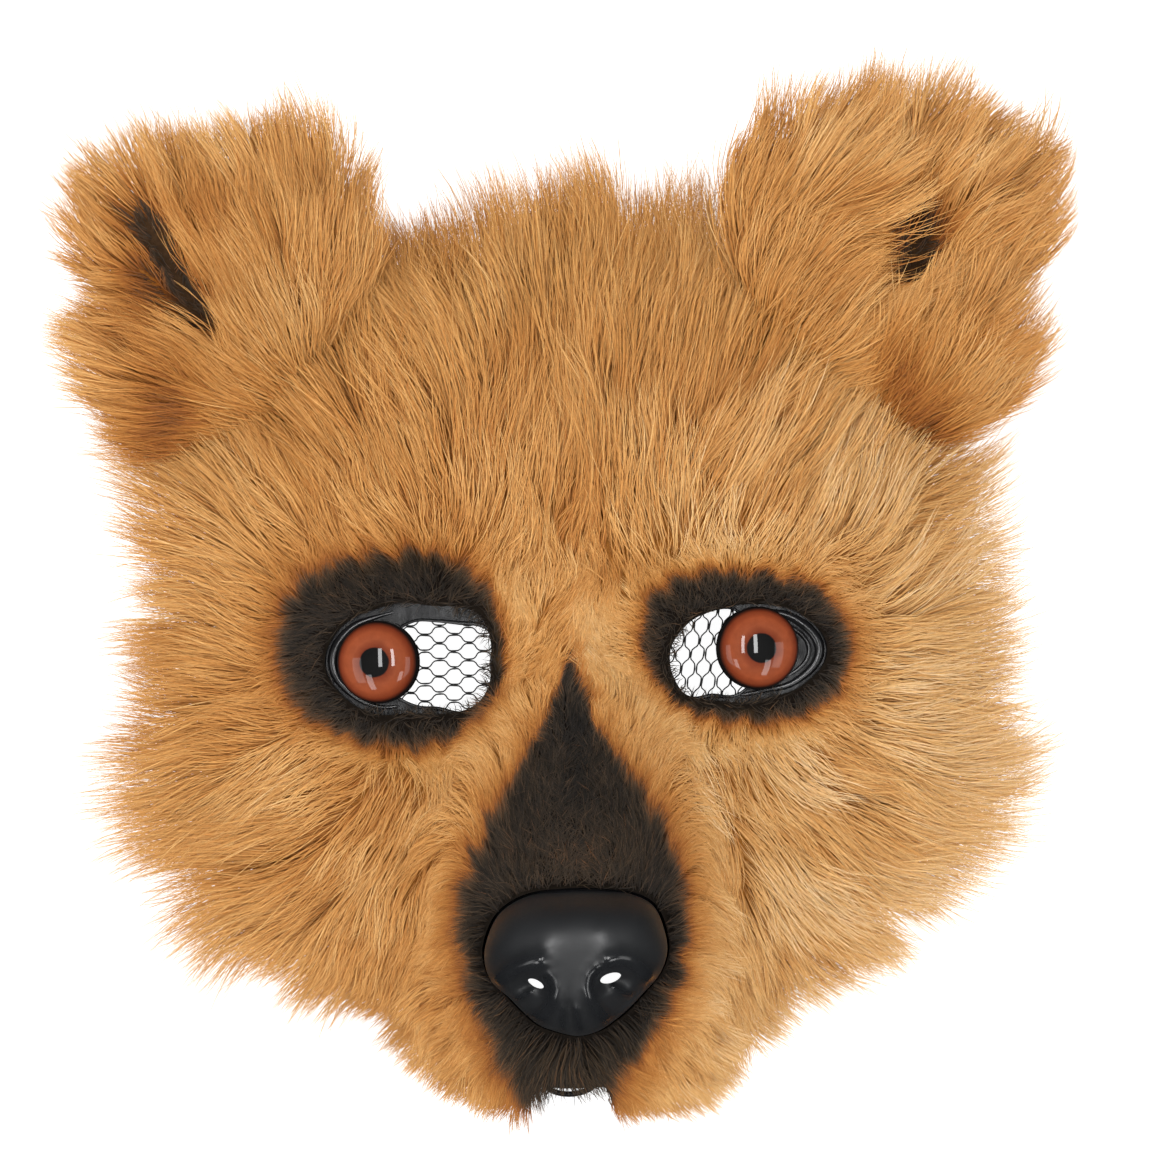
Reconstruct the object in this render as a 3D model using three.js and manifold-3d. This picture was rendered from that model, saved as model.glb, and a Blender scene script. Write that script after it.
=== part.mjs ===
// Bear mask: a rigid half-face mask lying face up on its rim.
// Millimetres. +Z points out of the face, +Y towards the crown, +X to the
// viewer's right. The rim lies in the plane z = 0.
import * as THREE from "three";
import { mergeVertices } from "three/addons/utils/BufferGeometryUtils.js";
import Module from "manifold-3d";

const wasm = await Module();
wasm.setup();

// ---------------------------------------------------------------- sizes
const WALL = 2.4; // moulded shell
const GAP = 0.35; // clearance between pieces
const CENTRE = { x: 0, y: -12 }; // centre of the face's polar sections
const ORIGIN_SHIFT = { x: -4.148, y: -12.682 }; // puts the box centre on the origin

const DOME_HEIGHT = 54; // face above the rim, without the snout
const DOME_POWER = 4; // how late the face turns down to the rim
const BRIDGE_POWER = 2.6; // roundness of the snout's cross-section
const RINGS = 12;

// half of the shell's rim, mirrored left to right; r from CENTRE
const SHELL_EDGE = [
  { deg: -90, r: 95 },
  { deg: -75, r: 93 },
  { deg: -60, r: 81 },
  { deg: -45, r: 81.5 },
  { deg: -30, r: 83 },
  { deg: -15, r: 84 },
  { deg: 0, r: 84 },
  { deg: 15, r: 87 },
  { deg: 30, r: 92 },
  { deg: 45, r: 98 },
  { deg: 60, r: 102 },
  { deg: 75, r: 101 },
  { deg: 90, r: 100 },
];

// outline of the fur round the face, tips at the floor side; r from CENTRE
const FUR_EDGE = [
  { deg: -90, r: 97 },
  { deg: -75, r: 104 },
  { deg: -60, r: 93 },
  { deg: -45, r: 97 },
  { deg: -30, r: 105 },
  { deg: -15, r: 111 },
  { deg: 0, r: 108 },
  { deg: 15, r: 110 },
  { deg: 30, r: 113 },
  { deg: 45, r: 118 },
  { deg: 60, r: 118 },
  { deg: 75, r: 121 },
  { deg: 90, r: 124 },
  { deg: 105, r: 120 },
  { deg: 120, r: 119 },
  { deg: 135, r: 122 },
  { deg: 150, r: 115 },
  { deg: 165, r: 108 },
  { deg: 180, r: 108 },
  { deg: 195, r: 112 },
  { deg: 210, r: 109 },
  { deg: 225, r: 94 },
  { deg: 240, r: 93 },
  { deg: 255, r: 99 },
];
const FUR_EDGE_Z = 3.6; // top of the fur's outer edge
const FUR_UNDER_Z = 1.6; // its underside, clear of the floor

// the snout: how far it rises above the face along the middle line, and the
// half width of the shell and of the fur there
const SNOUT = [
  { y: 30, rise: 0, half: 12, furHalf: 16 },
  { y: 6, rise: 1, half: 12, furHalf: 16 },
  { y: -10, rise: 6, half: 12, furHalf: 17 },
  { y: -25, rise: 17, half: 16, furHalf: 22 },
  { y: -40, rise: 32, half: 21, furHalf: 29 },
  { y: -55, rise: 48, half: 26, furHalf: 35 },
  { y: -70, rise: 60, half: 30, furHalf: 40 },
  { y: -85, rise: 62, half: 31, furHalf: 42 },
  { y: -100, rise: 58, half: 30, furHalf: 41 },
  { y: -125, rise: 50, half: 28, furHalf: 40 },
];

// how far the fur's outer form stands off the shell, and where it is short
const PILE = 15;
const SHORT_FUR = [
  { name: "left eye", x: -41, y: 1, rx: 34, ry: 26, depth: 4.5 },
  { name: "right eye", x: 43, y: 0, rx: 32, ry: 24, depth: 4.5 },
  { name: "nose bridge", x: 0, y: -30, rx: 13, ry: 34, depth: 5 },
  { name: "muzzle", x: 0, y: -76, rx: 34, ry: 40, depth: 5 },
];

// flat seats of the eyes in the shell, tilted outwards
const SEAT = { x: 38, y: -1, rx: 27, ry: 20, z: 47, tilt: 9, fade: 1.38 };
const EYE = { x: 46.2, y: 0, radius: 10.2, height: 7.4, edge: 1.6, lift: 0.6 };

// windows through the shell, openings in the fur, and the nose, as polar
// outlines with a row every 30 degrees
const LEFT_WINDOW = { x: -32, y: -1, r: [12.3, 12.5, 12.5, 12.5, 13, 13, 12.5, 12.8, 10.5, 11, 14.2, 13.5] };
const RIGHT_WINDOW = { x: 35, y: -1, r: [11, 11.5, 11, 10.3, 10, 10, 9.8, 10, 10.8, 10.5, 11, 11.5] };
const LEFT_OPENING = { x: -40, y: 0, r: [21, 21, 15, 14, 14.5, 17.5, 19.5, 17, 14.5, 12.5, 15, 20.5] };
const RIGHT_OPENING = { x: 43, y: -1, r: [20.5, 17, 13, 11.5, 12, 15, 17.8, 17.5, 13, 12, 12.5, 16.5] };
const NOSE = { x: -0.7, y: -71.3, r: [21.8, 22, 18, 15.7, 17.4, 21, 21.8, 18.9, 18.4, 19.1, 18, 18.2] };
const MESH_MARGIN = 2.5; // the net's overlap inside the shell
const MESH_THICK = 1;

const NOSE_FRONT = 117; // height of the nose at its middle
const NOSE_DEPTH = 20; // how far its rim lies below that
const NOSE_POWER = 2.5;
const NOSE_TILT = 0.1; // rise towards the bridge, per mm
const NOSE_WALL = 2.4;
const NOSE_BACK = { x: -1.5, y: -76, rx: 13, ry: 8 }; // opening of the shell behind it
const NOSTRILS = [
  { name: "left", x: -10.4, y: -77.4, rx: 2.0, ry: 0.95, turn: -30, pitX: -11.8, pitY: -79.9, pit: 5.0 },
  { name: "right", x: 7.4, y: -76.6, rx: 2.5, ry: 1.25, turn: 15, pitX: 8.4, pitY: -79.7, pit: 5.5 },
];
const PIT_DEPTH = 6.5; // nostril hollows below the nose's front

// fur ears; r from the ear's own centre
const EAR_LEFT = {
  x: -86,
  y: 100,
  rows: [
    { deg: 0, r: 49 },
    { deg: 20, r: 46 },
    { deg: 40, r: 43 },
    { deg: 60, r: 35 },
    { deg: 80, r: 31 },
    { deg: 100, r: 30 },
    { deg: 120, r: 35 },
    { deg: 140, r: 33 },
    { deg: 160, r: 32 },
    { deg: 180, r: 33 },
    { deg: 200, r: 32 },
    { deg: 220, r: 38 },
    { deg: 240, r: 50 },
    { deg: 260, r: 44 },
    { deg: 280, r: 32 },
    { deg: 300, r: 30 },
    { deg: 320, r: 31 },
    { deg: 340, r: 40 },
  ],
};
const EAR_RIGHT = {
  x: 88,
  y: 97,
  rows: [
    { deg: 0, r: 37 },
    { deg: 20, r: 42 },
    { deg: 40, r: 41 },
    { deg: 60, r: 37 },
    { deg: 80, r: 41 },
    { deg: 100, r: 43 },
    { deg: 120, r: 44 },
    { deg: 140, r: 47 },
    { deg: 160, r: 51 },
    { deg: 180, r: 50 },
    { deg: 200, r: 42 },
    { deg: 220, r: 31 },
    { deg: 240, r: 31 },
    { deg: 260, r: 42 },
    { deg: 280, r: 50 },
    { deg: 300, r: 43 },
    { deg: 320, r: 36 },
    { deg: 340, r: 35 },
  ],
};
const EAR_MID = 30; // height of the ear's widest section
const EAR_FRONT = 27; // fur in front of it
const EAR_BACK = 19; // fur behind it
const EAR_RINGS = 6;
const EAR_ANGLES = 32;
// the dark dent of each ear, a line from a to b
const EAR_DENT = {
  left: { ax: -101, ay: 105, bx: -87, by: 86, width: 9.5, depth: 12 },
  right: { ax: 89, ay: 99, bx: 88, by: 95, width: 9, depth: 12 },
};
// black plate of the shell that carries each ear, a rounded bar from a to b
const EAR_PLATE = { ax: 58, ay: 52, bx: 92, by: 103, radius: 15, z: 19, thick: 2.4 };

// small loop of the lip under the chin
const LIP_LOOP = { x: -3.5, y: -105.4, rx: 8.4, ry: 5.8, band: 1.3, height: 2.6 };

// elastic across the back, laid flat behind the forehead
const STRAP = { y: 34, width: 12, thick: 1.2, floor: 0.5, tab: 15, hump: 9, bend: 4 };

// ---------------------------------------------------------------- helpers
const rad = (deg) => (deg * Math.PI) / 180;
const clamp01 = (v) => Math.min(1, Math.max(0, v));
const smooth = (v) => clamp01(v) ** 2 * (3 - 2 * clamp01(v));
const lerp = (a, b, k) => a + (b - a) * k;

// smooth closed curve through rows of equal angle steps
function around(radii, firstDeg, deg) {
  const step = 360 / radii.length;
  const at = (((deg - firstDeg) / step) % radii.length + radii.length) % radii.length;
  const i = Math.floor(at);
  const k = at - i;
  const n = radii.length;
  const p = [-1, 0, 1, 2].map((d) => radii[(i + d + n) % n]);
  return 0.5 * (2 * p[1] + (p[2] - p[0]) * k + (2 * p[0] - 5 * p[1] + 4 * p[2] - p[3]) * k * k + (3 * p[1] - p[0] - 3 * p[2] + p[3]) * k * k * k);
}

const shellRadii = [...SHELL_EDGE, ...SHELL_EDGE.slice(1, -1).reverse()].map((row) => row.r);
const shellEdge = (deg) => around(shellRadii, -90, deg);
const furEdge = (deg) => around(FUR_EDGE.map((row) => row.r), -90, deg);

// smooth interpolation down the snout table, rows falling in y
function snoutAt(y, column) {
  const rows = SNOUT;
  if (y >= rows[0].y) return rows[0][column];
  for (let i = 1; i < rows.length; i++) {
    if (y >= rows[i].y) {
      const k = (rows[i - 1].y - y) / (rows[i - 1].y - rows[i].y);
      return lerp(rows[i - 1][column], rows[i][column], k);
    }
  }
  return rows[rows.length - 1][column];
}

const dome = (t) => Math.sqrt(Math.max(0, 1 - t ** DOME_POWER));
const snout = (x, y, column) => snoutAt(y, "rise") * Math.exp(-((Math.abs(x) / snoutAt(y, column)) ** BRIDGE_POWER));

// the plane of an eye seat and how strongly it holds at a place
const seatPlane = (x) => SEAT.z - Math.tan(rad(SEAT.tilt)) * (Math.abs(x) - SEAT.x);
function seatHold(x, y, fade) {
  const d = Math.hypot((Math.abs(x) - SEAT.x) / SEAT.rx, (y - SEAT.y) / SEAT.ry);
  return smooth((fade - d) / (fade - 1));
}

// rings are closer together near the rim, where the face turns down
const ringT = (s) => 1.5 * s - 0.5 * s ** 3;

function shellPoint(deg, s) {
  const t = ringT(s);
  const r = shellEdge(deg) * t;
  const x = CENTRE.x + r * Math.cos(rad(deg));
  const y = CENTRE.y + r * Math.sin(rad(deg));
  const z = (DOME_HEIGHT + snout(x, y, "half")) * dome(t);
  return new THREE.Vector3(x, y, lerp(z, seatPlane(x), seatHold(x, y, SEAT.fade)));
}

function shellNormal(deg, s) {
  const h = 1e-3;
  const s0 = Math.max(s, 0.02);
  const a = shellPoint(deg, s0 - h);
  const b = shellPoint(deg, Math.min(1, s0 + h));
  const c = shellPoint(deg - 0.2, s0);
  const d = shellPoint(deg + 0.2, s0);
  return b.sub(a).cross(d.sub(c)).normalize();
}

const shellOffset = (distance) => (deg, s) => {
  const p = shellPoint(deg, s).addScaledVector(shellNormal(deg, s), distance);
  return s >= 1 ? p.setZ(0) : p;
};

function pileAt(x, y) {
  let depth = PILE;
  for (const patch of SHORT_FUR) {
    const d = Math.hypot((x - patch.x) / patch.rx, (y - patch.y) / patch.ry);
    depth = lerp(depth, patch.depth, smooth((1.5 - d) / 0.75));
  }
  return depth;
}

// outer form of the fur over the shell, swinging out past the rim
function furPoint(deg, s, extra = 0) {
  const t = ringT(s);
  const inner = shellEdge(deg) * t;
  const x = CENTRE.x + inner * Math.cos(rad(deg));
  const y = CENTRE.y + inner * Math.sin(rad(deg));
  const out = (furEdge(deg) - shellEdge(deg) + extra) * smooth((s - 0.3) / 0.7);
  const free = (DOME_HEIGHT + pileAt(x, y) + snout(x, y, "furHalf")) * dome(t ** 1.15);
  const seated = seatPlane(x) + pileAt(x, y);
  const z = Math.max(FUR_EDGE_Z, lerp(free, seated, seatHold(x, y, SEAT.fade + 0.1))) + extra;
  const r = inner + out;
  return new THREE.Vector3(CENTRE.x + r * Math.cos(rad(deg)), CENTRE.y + r * Math.sin(rad(deg)), z);
}

// closed solid between two sheets that share one polar grid
function gridSolid(top, bottom, angles, rings) {
  const n = angles.length;
  const position = [];
  for (const sheet of [top, bottom]) {
    position.push(...sheet(0, 0).toArray());
    for (let j = 1; j <= rings; j++) for (const deg of angles) position.push(...sheet(deg, j / rings).toArray());
  }
  const low = 1 + rings * n;
  const index = [];
  const at = (base, j, i) => base + 1 + (j - 1) * n + (i % n);
  for (let i = 0; i < n; i++) {
    index.push(0, at(0, 1, i), at(0, 1, i + 1));
    index.push(low, at(low, 1, i + 1), at(low, 1, i));
    for (let j = 1; j < rings; j++) {
      const [a, b, c, d] = [at(0, j, i), at(0, j + 1, i), at(0, j + 1, i + 1), at(0, j, i + 1)];
      index.push(a, b, c, a, c, d);
      const [e, f, g, h] = [at(low, j, i), at(low, j + 1, i), at(low, j + 1, i + 1), at(low, j, i + 1)];
      index.push(e, g, f, e, h, g);
    }
    const [p, q] = [at(0, rings, i), at(0, rings, i + 1)];
    const [u, v] = [at(low, rings, i), at(low, rings, i + 1)];
    index.push(p, u, v, p, v, q);
  }
  const geometry = new THREE.BufferGeometry();
  geometry.setAttribute("position", new THREE.Float32BufferAttribute(position, 3));
  geometry.setIndex(index);
  return geometry;
}

function solid(geometry) {
  const bare = geometry.clone();
  bare.deleteAttribute("normal");
  bare.deleteAttribute("uv");
  const merged = mergeVertices(bare, 1e-4);
  return new wasm.Manifold(
    new wasm.Mesh({
      numProp: 3,
      vertProperties: new Float32Array(merged.attributes.position.array),
      triVerts: new Uint32Array(merged.index.array),
    }),
  );
}

function geometryOf(manifold) {
  const mesh = manifold.getMesh();
  const geometry = new THREE.BufferGeometry();
  geometry.setAttribute("position", new THREE.BufferAttribute(new Float32Array(mesh.vertProperties), 3));
  geometry.setIndex(new THREE.BufferAttribute(new Uint32Array(mesh.triVerts), 1));
  geometry.computeVertexNormals();
  return geometry;
}

// upright prism of a polar outline, grown by margin
function outlineShape(outline, margin, steps) {
  const points = [];
  for (let i = 0; i < steps; i++) {
    const deg = (360 * i) / steps;
    const r = around(outline.r, 0, deg) + margin;
    points.push(new THREE.Vector2(outline.x + r * Math.cos(rad(deg)), outline.y + r * Math.sin(rad(deg))));
  }
  return new THREE.Shape(points);
}

function prism(shape, low, high) {
  const geometry = new THREE.ExtrudeGeometry(shape, { depth: high - low, bevelEnabled: false, curveSegments: 8 });
  geometry.translate(0, 0, low);
  return solid(geometry);
}

// prism over a rounded bar from a to b
function barShape(ax, ay, bx, by, radius, steps) {
  const along = Math.atan2(by - ay, bx - ax);
  const points = [];
  for (let i = 0; i <= steps; i++) {
    const turn = along - Math.PI / 2 + (Math.PI * i) / steps;
    points.push(new THREE.Vector2(bx + radius * Math.cos(turn), by + radius * Math.sin(turn)));
  }
  for (let i = 0; i <= steps; i++) {
    const turn = along + Math.PI / 2 + (Math.PI * i) / steps;
    points.push(new THREE.Vector2(ax + radius * Math.cos(turn), ay + radius * Math.sin(turn)));
  }
  return new THREE.Shape(points);
}

function ovalShape(x, y, rx, ry, turnDeg, steps) {
  const curve = new THREE.EllipseCurve(x, y, rx, ry, 0, 2 * Math.PI, false, rad(turnDeg));
  return new THREE.Shape(curve.getPoints(steps).slice(0, -1));
}

const BLACK_PLASTIC = new THREE.MeshStandardMaterial({ color: 0x0c0c0d, roughness: 0.25, metalness: 0 });
const SATIN_BLACK = new THREE.MeshStandardMaterial({ color: 0x1c1d1f, roughness: 0.42, metalness: 0 });
const TAN_FUR = new THREE.MeshStandardMaterial({ color: 0xc89155, roughness: 0.95, metalness: 0 });
const EYE_GLOSS = new THREE.MeshStandardMaterial({ color: 0xa85a34, roughness: 0.08, metalness: 0 });
const NET = new THREE.MeshStandardMaterial({ color: 0x202020, roughness: 0.7, metalness: 0 });
const ELASTIC = new THREE.MeshStandardMaterial({ color: 0x161616, roughness: 0.85, metalness: 0 });

const mask = new THREE.Group();
mask.position.set(ORIGIN_SHIFT.x, ORIGIN_SHIFT.y, 0);
function piece(name, geometry, material) {
  const mesh = new THREE.Mesh(geometry, material.clone());
  mesh.name = name;
  mask.add(mesh);
  return mesh;
}

// sections are closer together round the snout
const faceAngles = [];
for (let deg = -130; deg < -50; deg += 5) faceAngles.push(deg);
for (let deg = -50; deg < 230; deg += 10) faceAngles.push(deg);

// ---------------------------------------------------------------- shell
const floorSheet = (sheet) => (deg, s) => {
  const p = sheet(deg, s);
  return new THREE.Vector3(p.x, p.y, -1);
};
const filled = (sheet) => solid(gridSolid(sheet, floorSheet(sheet), faceAngles, RINGS));
const shellWall = solid(gridSolid(shellOffset(0), shellOffset(-WALL), faceAngles, RINGS));

const plateShape = (side, margin) =>
  barShape(side * EAR_PLATE.ax, EAR_PLATE.ay, side * EAR_PLATE.bx, EAR_PLATE.by, EAR_PLATE.radius + margin, 10);
const plate = (side, margin) =>
  prism(plateShape(side, margin), EAR_PLATE.z - margin, EAR_PLATE.z + EAR_PLATE.thick + margin);
const insideFace = filled(shellOffset(-1.2));

const loopRing = prism(ovalShape(LIP_LOOP.x, LIP_LOOP.y, LIP_LOOP.rx, LIP_LOOP.ry, 0, 32), 0, LIP_LOOP.height).subtract(
  prism(ovalShape(LIP_LOOP.x, LIP_LOOP.y, LIP_LOOP.rx - LIP_LOOP.band, LIP_LOOP.ry - LIP_LOOP.band, 0, 32), -1, LIP_LOOP.height + 1),
);

const throughWindow = (outline, margin) => prism(outlineShape(outline, margin, 24), 20, 90);
const nostrilCut = (row) => prism(ovalShape(row.x, row.y, row.rx, row.ry, row.turn, 16), 60, 140);

let shell = shellWall.add(plate(-1, 0).subtract(insideFace)).add(plate(1, 0).subtract(insideFace)).add(loopRing.subtract(insideFace));
shell = shell.subtract(throughWindow(LEFT_WINDOW, 0)).subtract(throughWindow(RIGHT_WINDOW, 0));
shell = shell.subtract(prism(ovalShape(NOSE_BACK.x, NOSE_BACK.y, NOSE_BACK.rx, NOSE_BACK.ry, 0, 28), 60, 140));
piece("mask_shell", geometryOf(shell), BLACK_PLASTIC);

// ---------------------------------------------------------------- fur cover
function furUnder(deg, s) {
  const p = shellOffset(GAP)(deg, s);
  if (s < 1) return new THREE.Vector3(p.x, p.y, Math.max(p.z, FUR_UNDER_Z));
  return new THREE.Vector3(p.x, p.y, FUR_UNDER_Z);
}
// the last ring of the underside runs out to the tips
const UNDER_RINGS = RINGS + 1;
const coverTop = (deg, s) => furPoint(deg, Math.min(1, (s * UNDER_RINGS) / RINGS));
const coverTopRing = (deg, s) => (s > RINGS / UNDER_RINGS + 1e-6 ? coverEdge(deg) : coverTop(deg, s));
function coverEdge(deg) {
  const r = furEdge(deg) + 0.8;
  return new THREE.Vector3(CENTRE.x + r * Math.cos(rad(deg)), CENTRE.y + r * Math.sin(rad(deg)), (FUR_EDGE_Z + FUR_UNDER_Z) / 2);
}
function coverUnder(deg, s) {
  if (s <= RINGS / UNDER_RINGS + 1e-6) return furUnder(deg, Math.min(1, (s * UNDER_RINGS) / RINGS));
  const r = furEdge(deg) - 0.4;
  return new THREE.Vector3(CENTRE.x + r * Math.cos(rad(deg)), CENTRE.y + r * Math.sin(rad(deg)), FUR_UNDER_Z);
}
let cover = solid(gridSolid(coverTopRing, coverUnder, faceAngles, UNDER_RINGS));
const noseHole = prism(outlineShape(NOSE, 0.6, 32), 60, 160);
const loopClear = prism(ovalShape(LIP_LOOP.x, LIP_LOOP.y - 0.6, LIP_LOOP.rx + 0.8, LIP_LOOP.ry + 1.2, 0, 24), -1, LIP_LOOP.height + 1.5);
cover = cover
  .subtract(throughWindow(LEFT_OPENING, 0))
  .subtract(throughWindow(RIGHT_OPENING, 0))
  .subtract(noseHole)
  .subtract(loopClear)
  .subtract(plate(-1, GAP))
  .subtract(plate(1, GAP));
piece("fur_cover", geometryOf(cover), TAN_FUR);

// ---------------------------------------------------------------- ears
const coverBlock = filled((deg, s) => furPoint(deg, s, GAP));
function earSolid(ear, dent) {
  const radii = ear.rows.map((row) => row.r);
  const angles = Array.from({ length: EAR_ANGLES }, (_, i) => (360 * i) / EAR_ANGLES);
  const sheet = (height, hollow) => (deg, s) => {
    const t = ringT(s);
    const r = around(radii, 0, deg) * t;
    const x = ear.x + r * Math.cos(rad(deg));
    const y = ear.y + r * Math.sin(rad(deg));
    const along = clamp01(((x - dent.ax) * (dent.bx - dent.ax) + (y - dent.ay) * (dent.by - dent.ay)) / ((dent.bx - dent.ax) ** 2 + (dent.by - dent.ay) ** 2));
    const away = Math.hypot(x - lerp(dent.ax, dent.bx, along), y - lerp(dent.ay, dent.by, along));
    const sink = hollow ? dent.depth * Math.exp(-((away / dent.width) ** 2)) * (1 - t ** 3) : 0;
    return new THREE.Vector3(x, y, EAR_MID + height * Math.sqrt(Math.max(0, 1 - t ** 2.6)) - sink);
  };
  const edge = (height, hollow) => (deg, s) => {
    const p = sheet(height, hollow)(deg, s);
    return s >= 1 ? p.setZ(EAR_MID + Math.sign(height) * 0.8) : p;
  };
  return solid(gridSolid(edge(EAR_FRONT, true), edge(-EAR_BACK, false), angles, EAR_RINGS));
}
for (const [name, ear, dent, side] of [
  ["ear_left", EAR_LEFT, EAR_DENT.left, -1],
  ["ear_right", EAR_RIGHT, EAR_DENT.right, 1],
]) {
  piece(name, geometryOf(earSolid(ear, dent).subtract(coverBlock).subtract(plate(side, GAP))), TAN_FUR);
}

// ---------------------------------------------------------------- eyes and nets
const eyeProfile = [new THREE.Vector2(0, 0), new THREE.Vector2(EYE.radius - 0.4, 0), new THREE.Vector2(EYE.radius, 0.5), new THREE.Vector2(EYE.radius, EYE.edge)];
for (let i = 1; i <= 6; i++) {
  const turn = (Math.PI / 2) * (i / 6);
  eyeProfile.push(new THREE.Vector2(i === 6 ? 0 : EYE.radius * Math.cos(turn), EYE.edge + (EYE.height - EYE.edge) * Math.sin(turn)));
}
for (const [name, side, windowOutline] of [
  ["left", -1, LEFT_WINDOW],
  ["right", 1, RIGHT_WINDOW],
]) {
  const eyeGeometry = new THREE.LatheGeometry(eyeProfile, 22);
  eyeGeometry.rotateX(Math.PI / 2);
  const eye = piece(`eye_${name}`, mergeVertices(stripped(eyeGeometry), 1e-4), EYE_GLOSS);
  eye.rotation.y = side * rad(SEAT.tilt);
  eye.position.set(side * EYE.x, EYE.y, seatPlane(EYE.x)).add(new THREE.Vector3(side * Math.sin(rad(SEAT.tilt)), 0, Math.cos(rad(SEAT.tilt))).multiplyScalar(EYE.lift));

  // flat net sheet, parallel to the seat, inside the wall
  const local = { x: windowOutline.x - side * SEAT.x, y: windowOutline.y, r: windowOutline.r };
  const sheetGeometry = new THREE.ExtrudeGeometry(outlineShape(local, MESH_MARGIN, 24), { depth: MESH_THICK, bevelEnabled: false });
  const net = piece(`eye_mesh_${name}`, mergeVertices(stripped(sheetGeometry), 1e-4), NET);
  net.rotation.y = side * rad(SEAT.tilt);
  const drop = -(WALL + GAP + MESH_THICK);
  net.position.set(side * (SEAT.x + Math.sin(rad(SEAT.tilt)) * drop), 0, SEAT.z + Math.cos(rad(SEAT.tilt)) * drop);
}
function stripped(geometry) {
  geometry.deleteAttribute("normal");
  geometry.deleteAttribute("uv");
  return geometry;
}

// ---------------------------------------------------------------- nose
const noseAngles = Array.from({ length: 28 }, (_, i) => (i * 360) / 28);
const noseSheet = (inset, low) => (deg, s) => {
  const t = ringT(s);
  const r = (around(NOSE.r, 0, deg) - inset) * t;
  const x = NOSE.x + r * Math.cos(rad(deg));
  const y = NOSE.y + r * Math.sin(rad(deg));
  const z = NOSE_FRONT - inset - NOSE_DEPTH * (1 - Math.sqrt(Math.max(0, 1 - t ** NOSE_POWER))) + NOSE_TILT * (y - NOSE.y);
  return new THREE.Vector3(x, y, low ?? z);
};
const noseBlock = (inset, low) => solid(gridSolid(noseSheet(inset), noseSheet(inset, low), noseAngles, 6));
function pitBall(row, grow) {
  const ball = new THREE.SphereGeometry(row.pit + grow, 12, 8);
  ball.translate(row.pitX, row.pitY, NOSE_FRONT - PIT_DEPTH + row.pit);
  return solid(ball);
}
// a hollow cap, whose nostril hollows keep their own wall
let nose = noseBlock(0, 62);
let noseHollow = noseBlock(NOSE_WALL, 58);
for (const row of NOSTRILS) noseHollow = noseHollow.subtract(pitBall(row, NOSE_WALL - 0.4));
nose = nose.subtract(noseHollow);
for (const row of NOSTRILS) nose = nose.subtract(pitBall(row, 0)).subtract(nostrilCut(row));
nose = nose.subtract(filled(shellOffset(GAP)));
piece("nose", geometryOf(nose), SATIN_BLACK);

// ---------------------------------------------------------------- strap
// the nearest the inner wall comes to the middle within the tab's height
let tabX = 1e9;
for (let deg = 8; deg < 60; deg += 0.5) {
  for (let s = 0.85; s <= 1.0001; s += 0.01) {
    const p = shellOffset(-WALL)(deg, Math.min(1, s));
    if (Math.abs(p.y - STRAP.y) <= STRAP.width / 2 + 1 && p.z <= STRAP.tab + 1) tabX = Math.min(tabX, p.x);
  }
}
const tabOuter = tabX - 0.5;
function strapLine(offset) {
  // one edge of the band in side view, from the right tab to the left one
  const points = [];
  const mid = STRAP.floor + STRAP.thick / 2;
  const x0 = tabOuter - STRAP.thick / 2;
  const bend = STRAP.bend;
  points.push([x0 + offset, STRAP.tab]);
  for (let i = 0; i <= 4; i++) {
    const turn = (Math.PI / 2) * (i / 4);
    points.push([x0 - bend + (bend + offset) * Math.cos(turn), mid + bend - (bend + offset) * Math.sin(turn)]);
  }
  const half = x0 - bend;
  for (let i = 1; i < 24; i++) {
    const x = half - (2 * half * i) / 24;
    const wave = STRAP.hump * Math.max(0, Math.cos((Math.PI * (x - 12)) / 96)) ** 2;
    points.push([x, mid + (Math.abs(x - 12) < 48 ? wave : 0) - offset]);
  }
  for (let i = 4; i >= 0; i--) {
    const turn = (Math.PI / 2) * (i / 4);
    points.push([-(x0 - bend + (bend + offset) * Math.cos(turn)), mid + bend - (bend + offset) * Math.sin(turn)]);
  }
  points.push([-(x0 + offset), STRAP.tab]);
  return points;
}
const bandOutline = [...strapLine(STRAP.thick / 2), ...strapLine(-STRAP.thick / 2).reverse()].map(([x, z]) => new THREE.Vector2(x, z));
const bandGeometry = new THREE.ExtrudeGeometry(new THREE.Shape(bandOutline), { depth: STRAP.width, bevelEnabled: false });
bandGeometry.rotateX(Math.PI / 2);
bandGeometry.translate(0, STRAP.y + STRAP.width / 2, 0);
piece("elastic_strap", mergeVertices(stripped(bandGeometry), 1e-4), ELASTIC);

export default mask;
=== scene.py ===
"""Looks of the bear mask: pelt and fur strands, shell, eyes, nets, nose, strap, floor, light and camera.

Face coordinates are millimetres with the origin between the eyes. Everything
is moved by SHIFT and scaled to metres when its mesh is made.
"""
import math

import bmesh
import bpy
import numpy as np
from mathutils import Matrix, Vector


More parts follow.
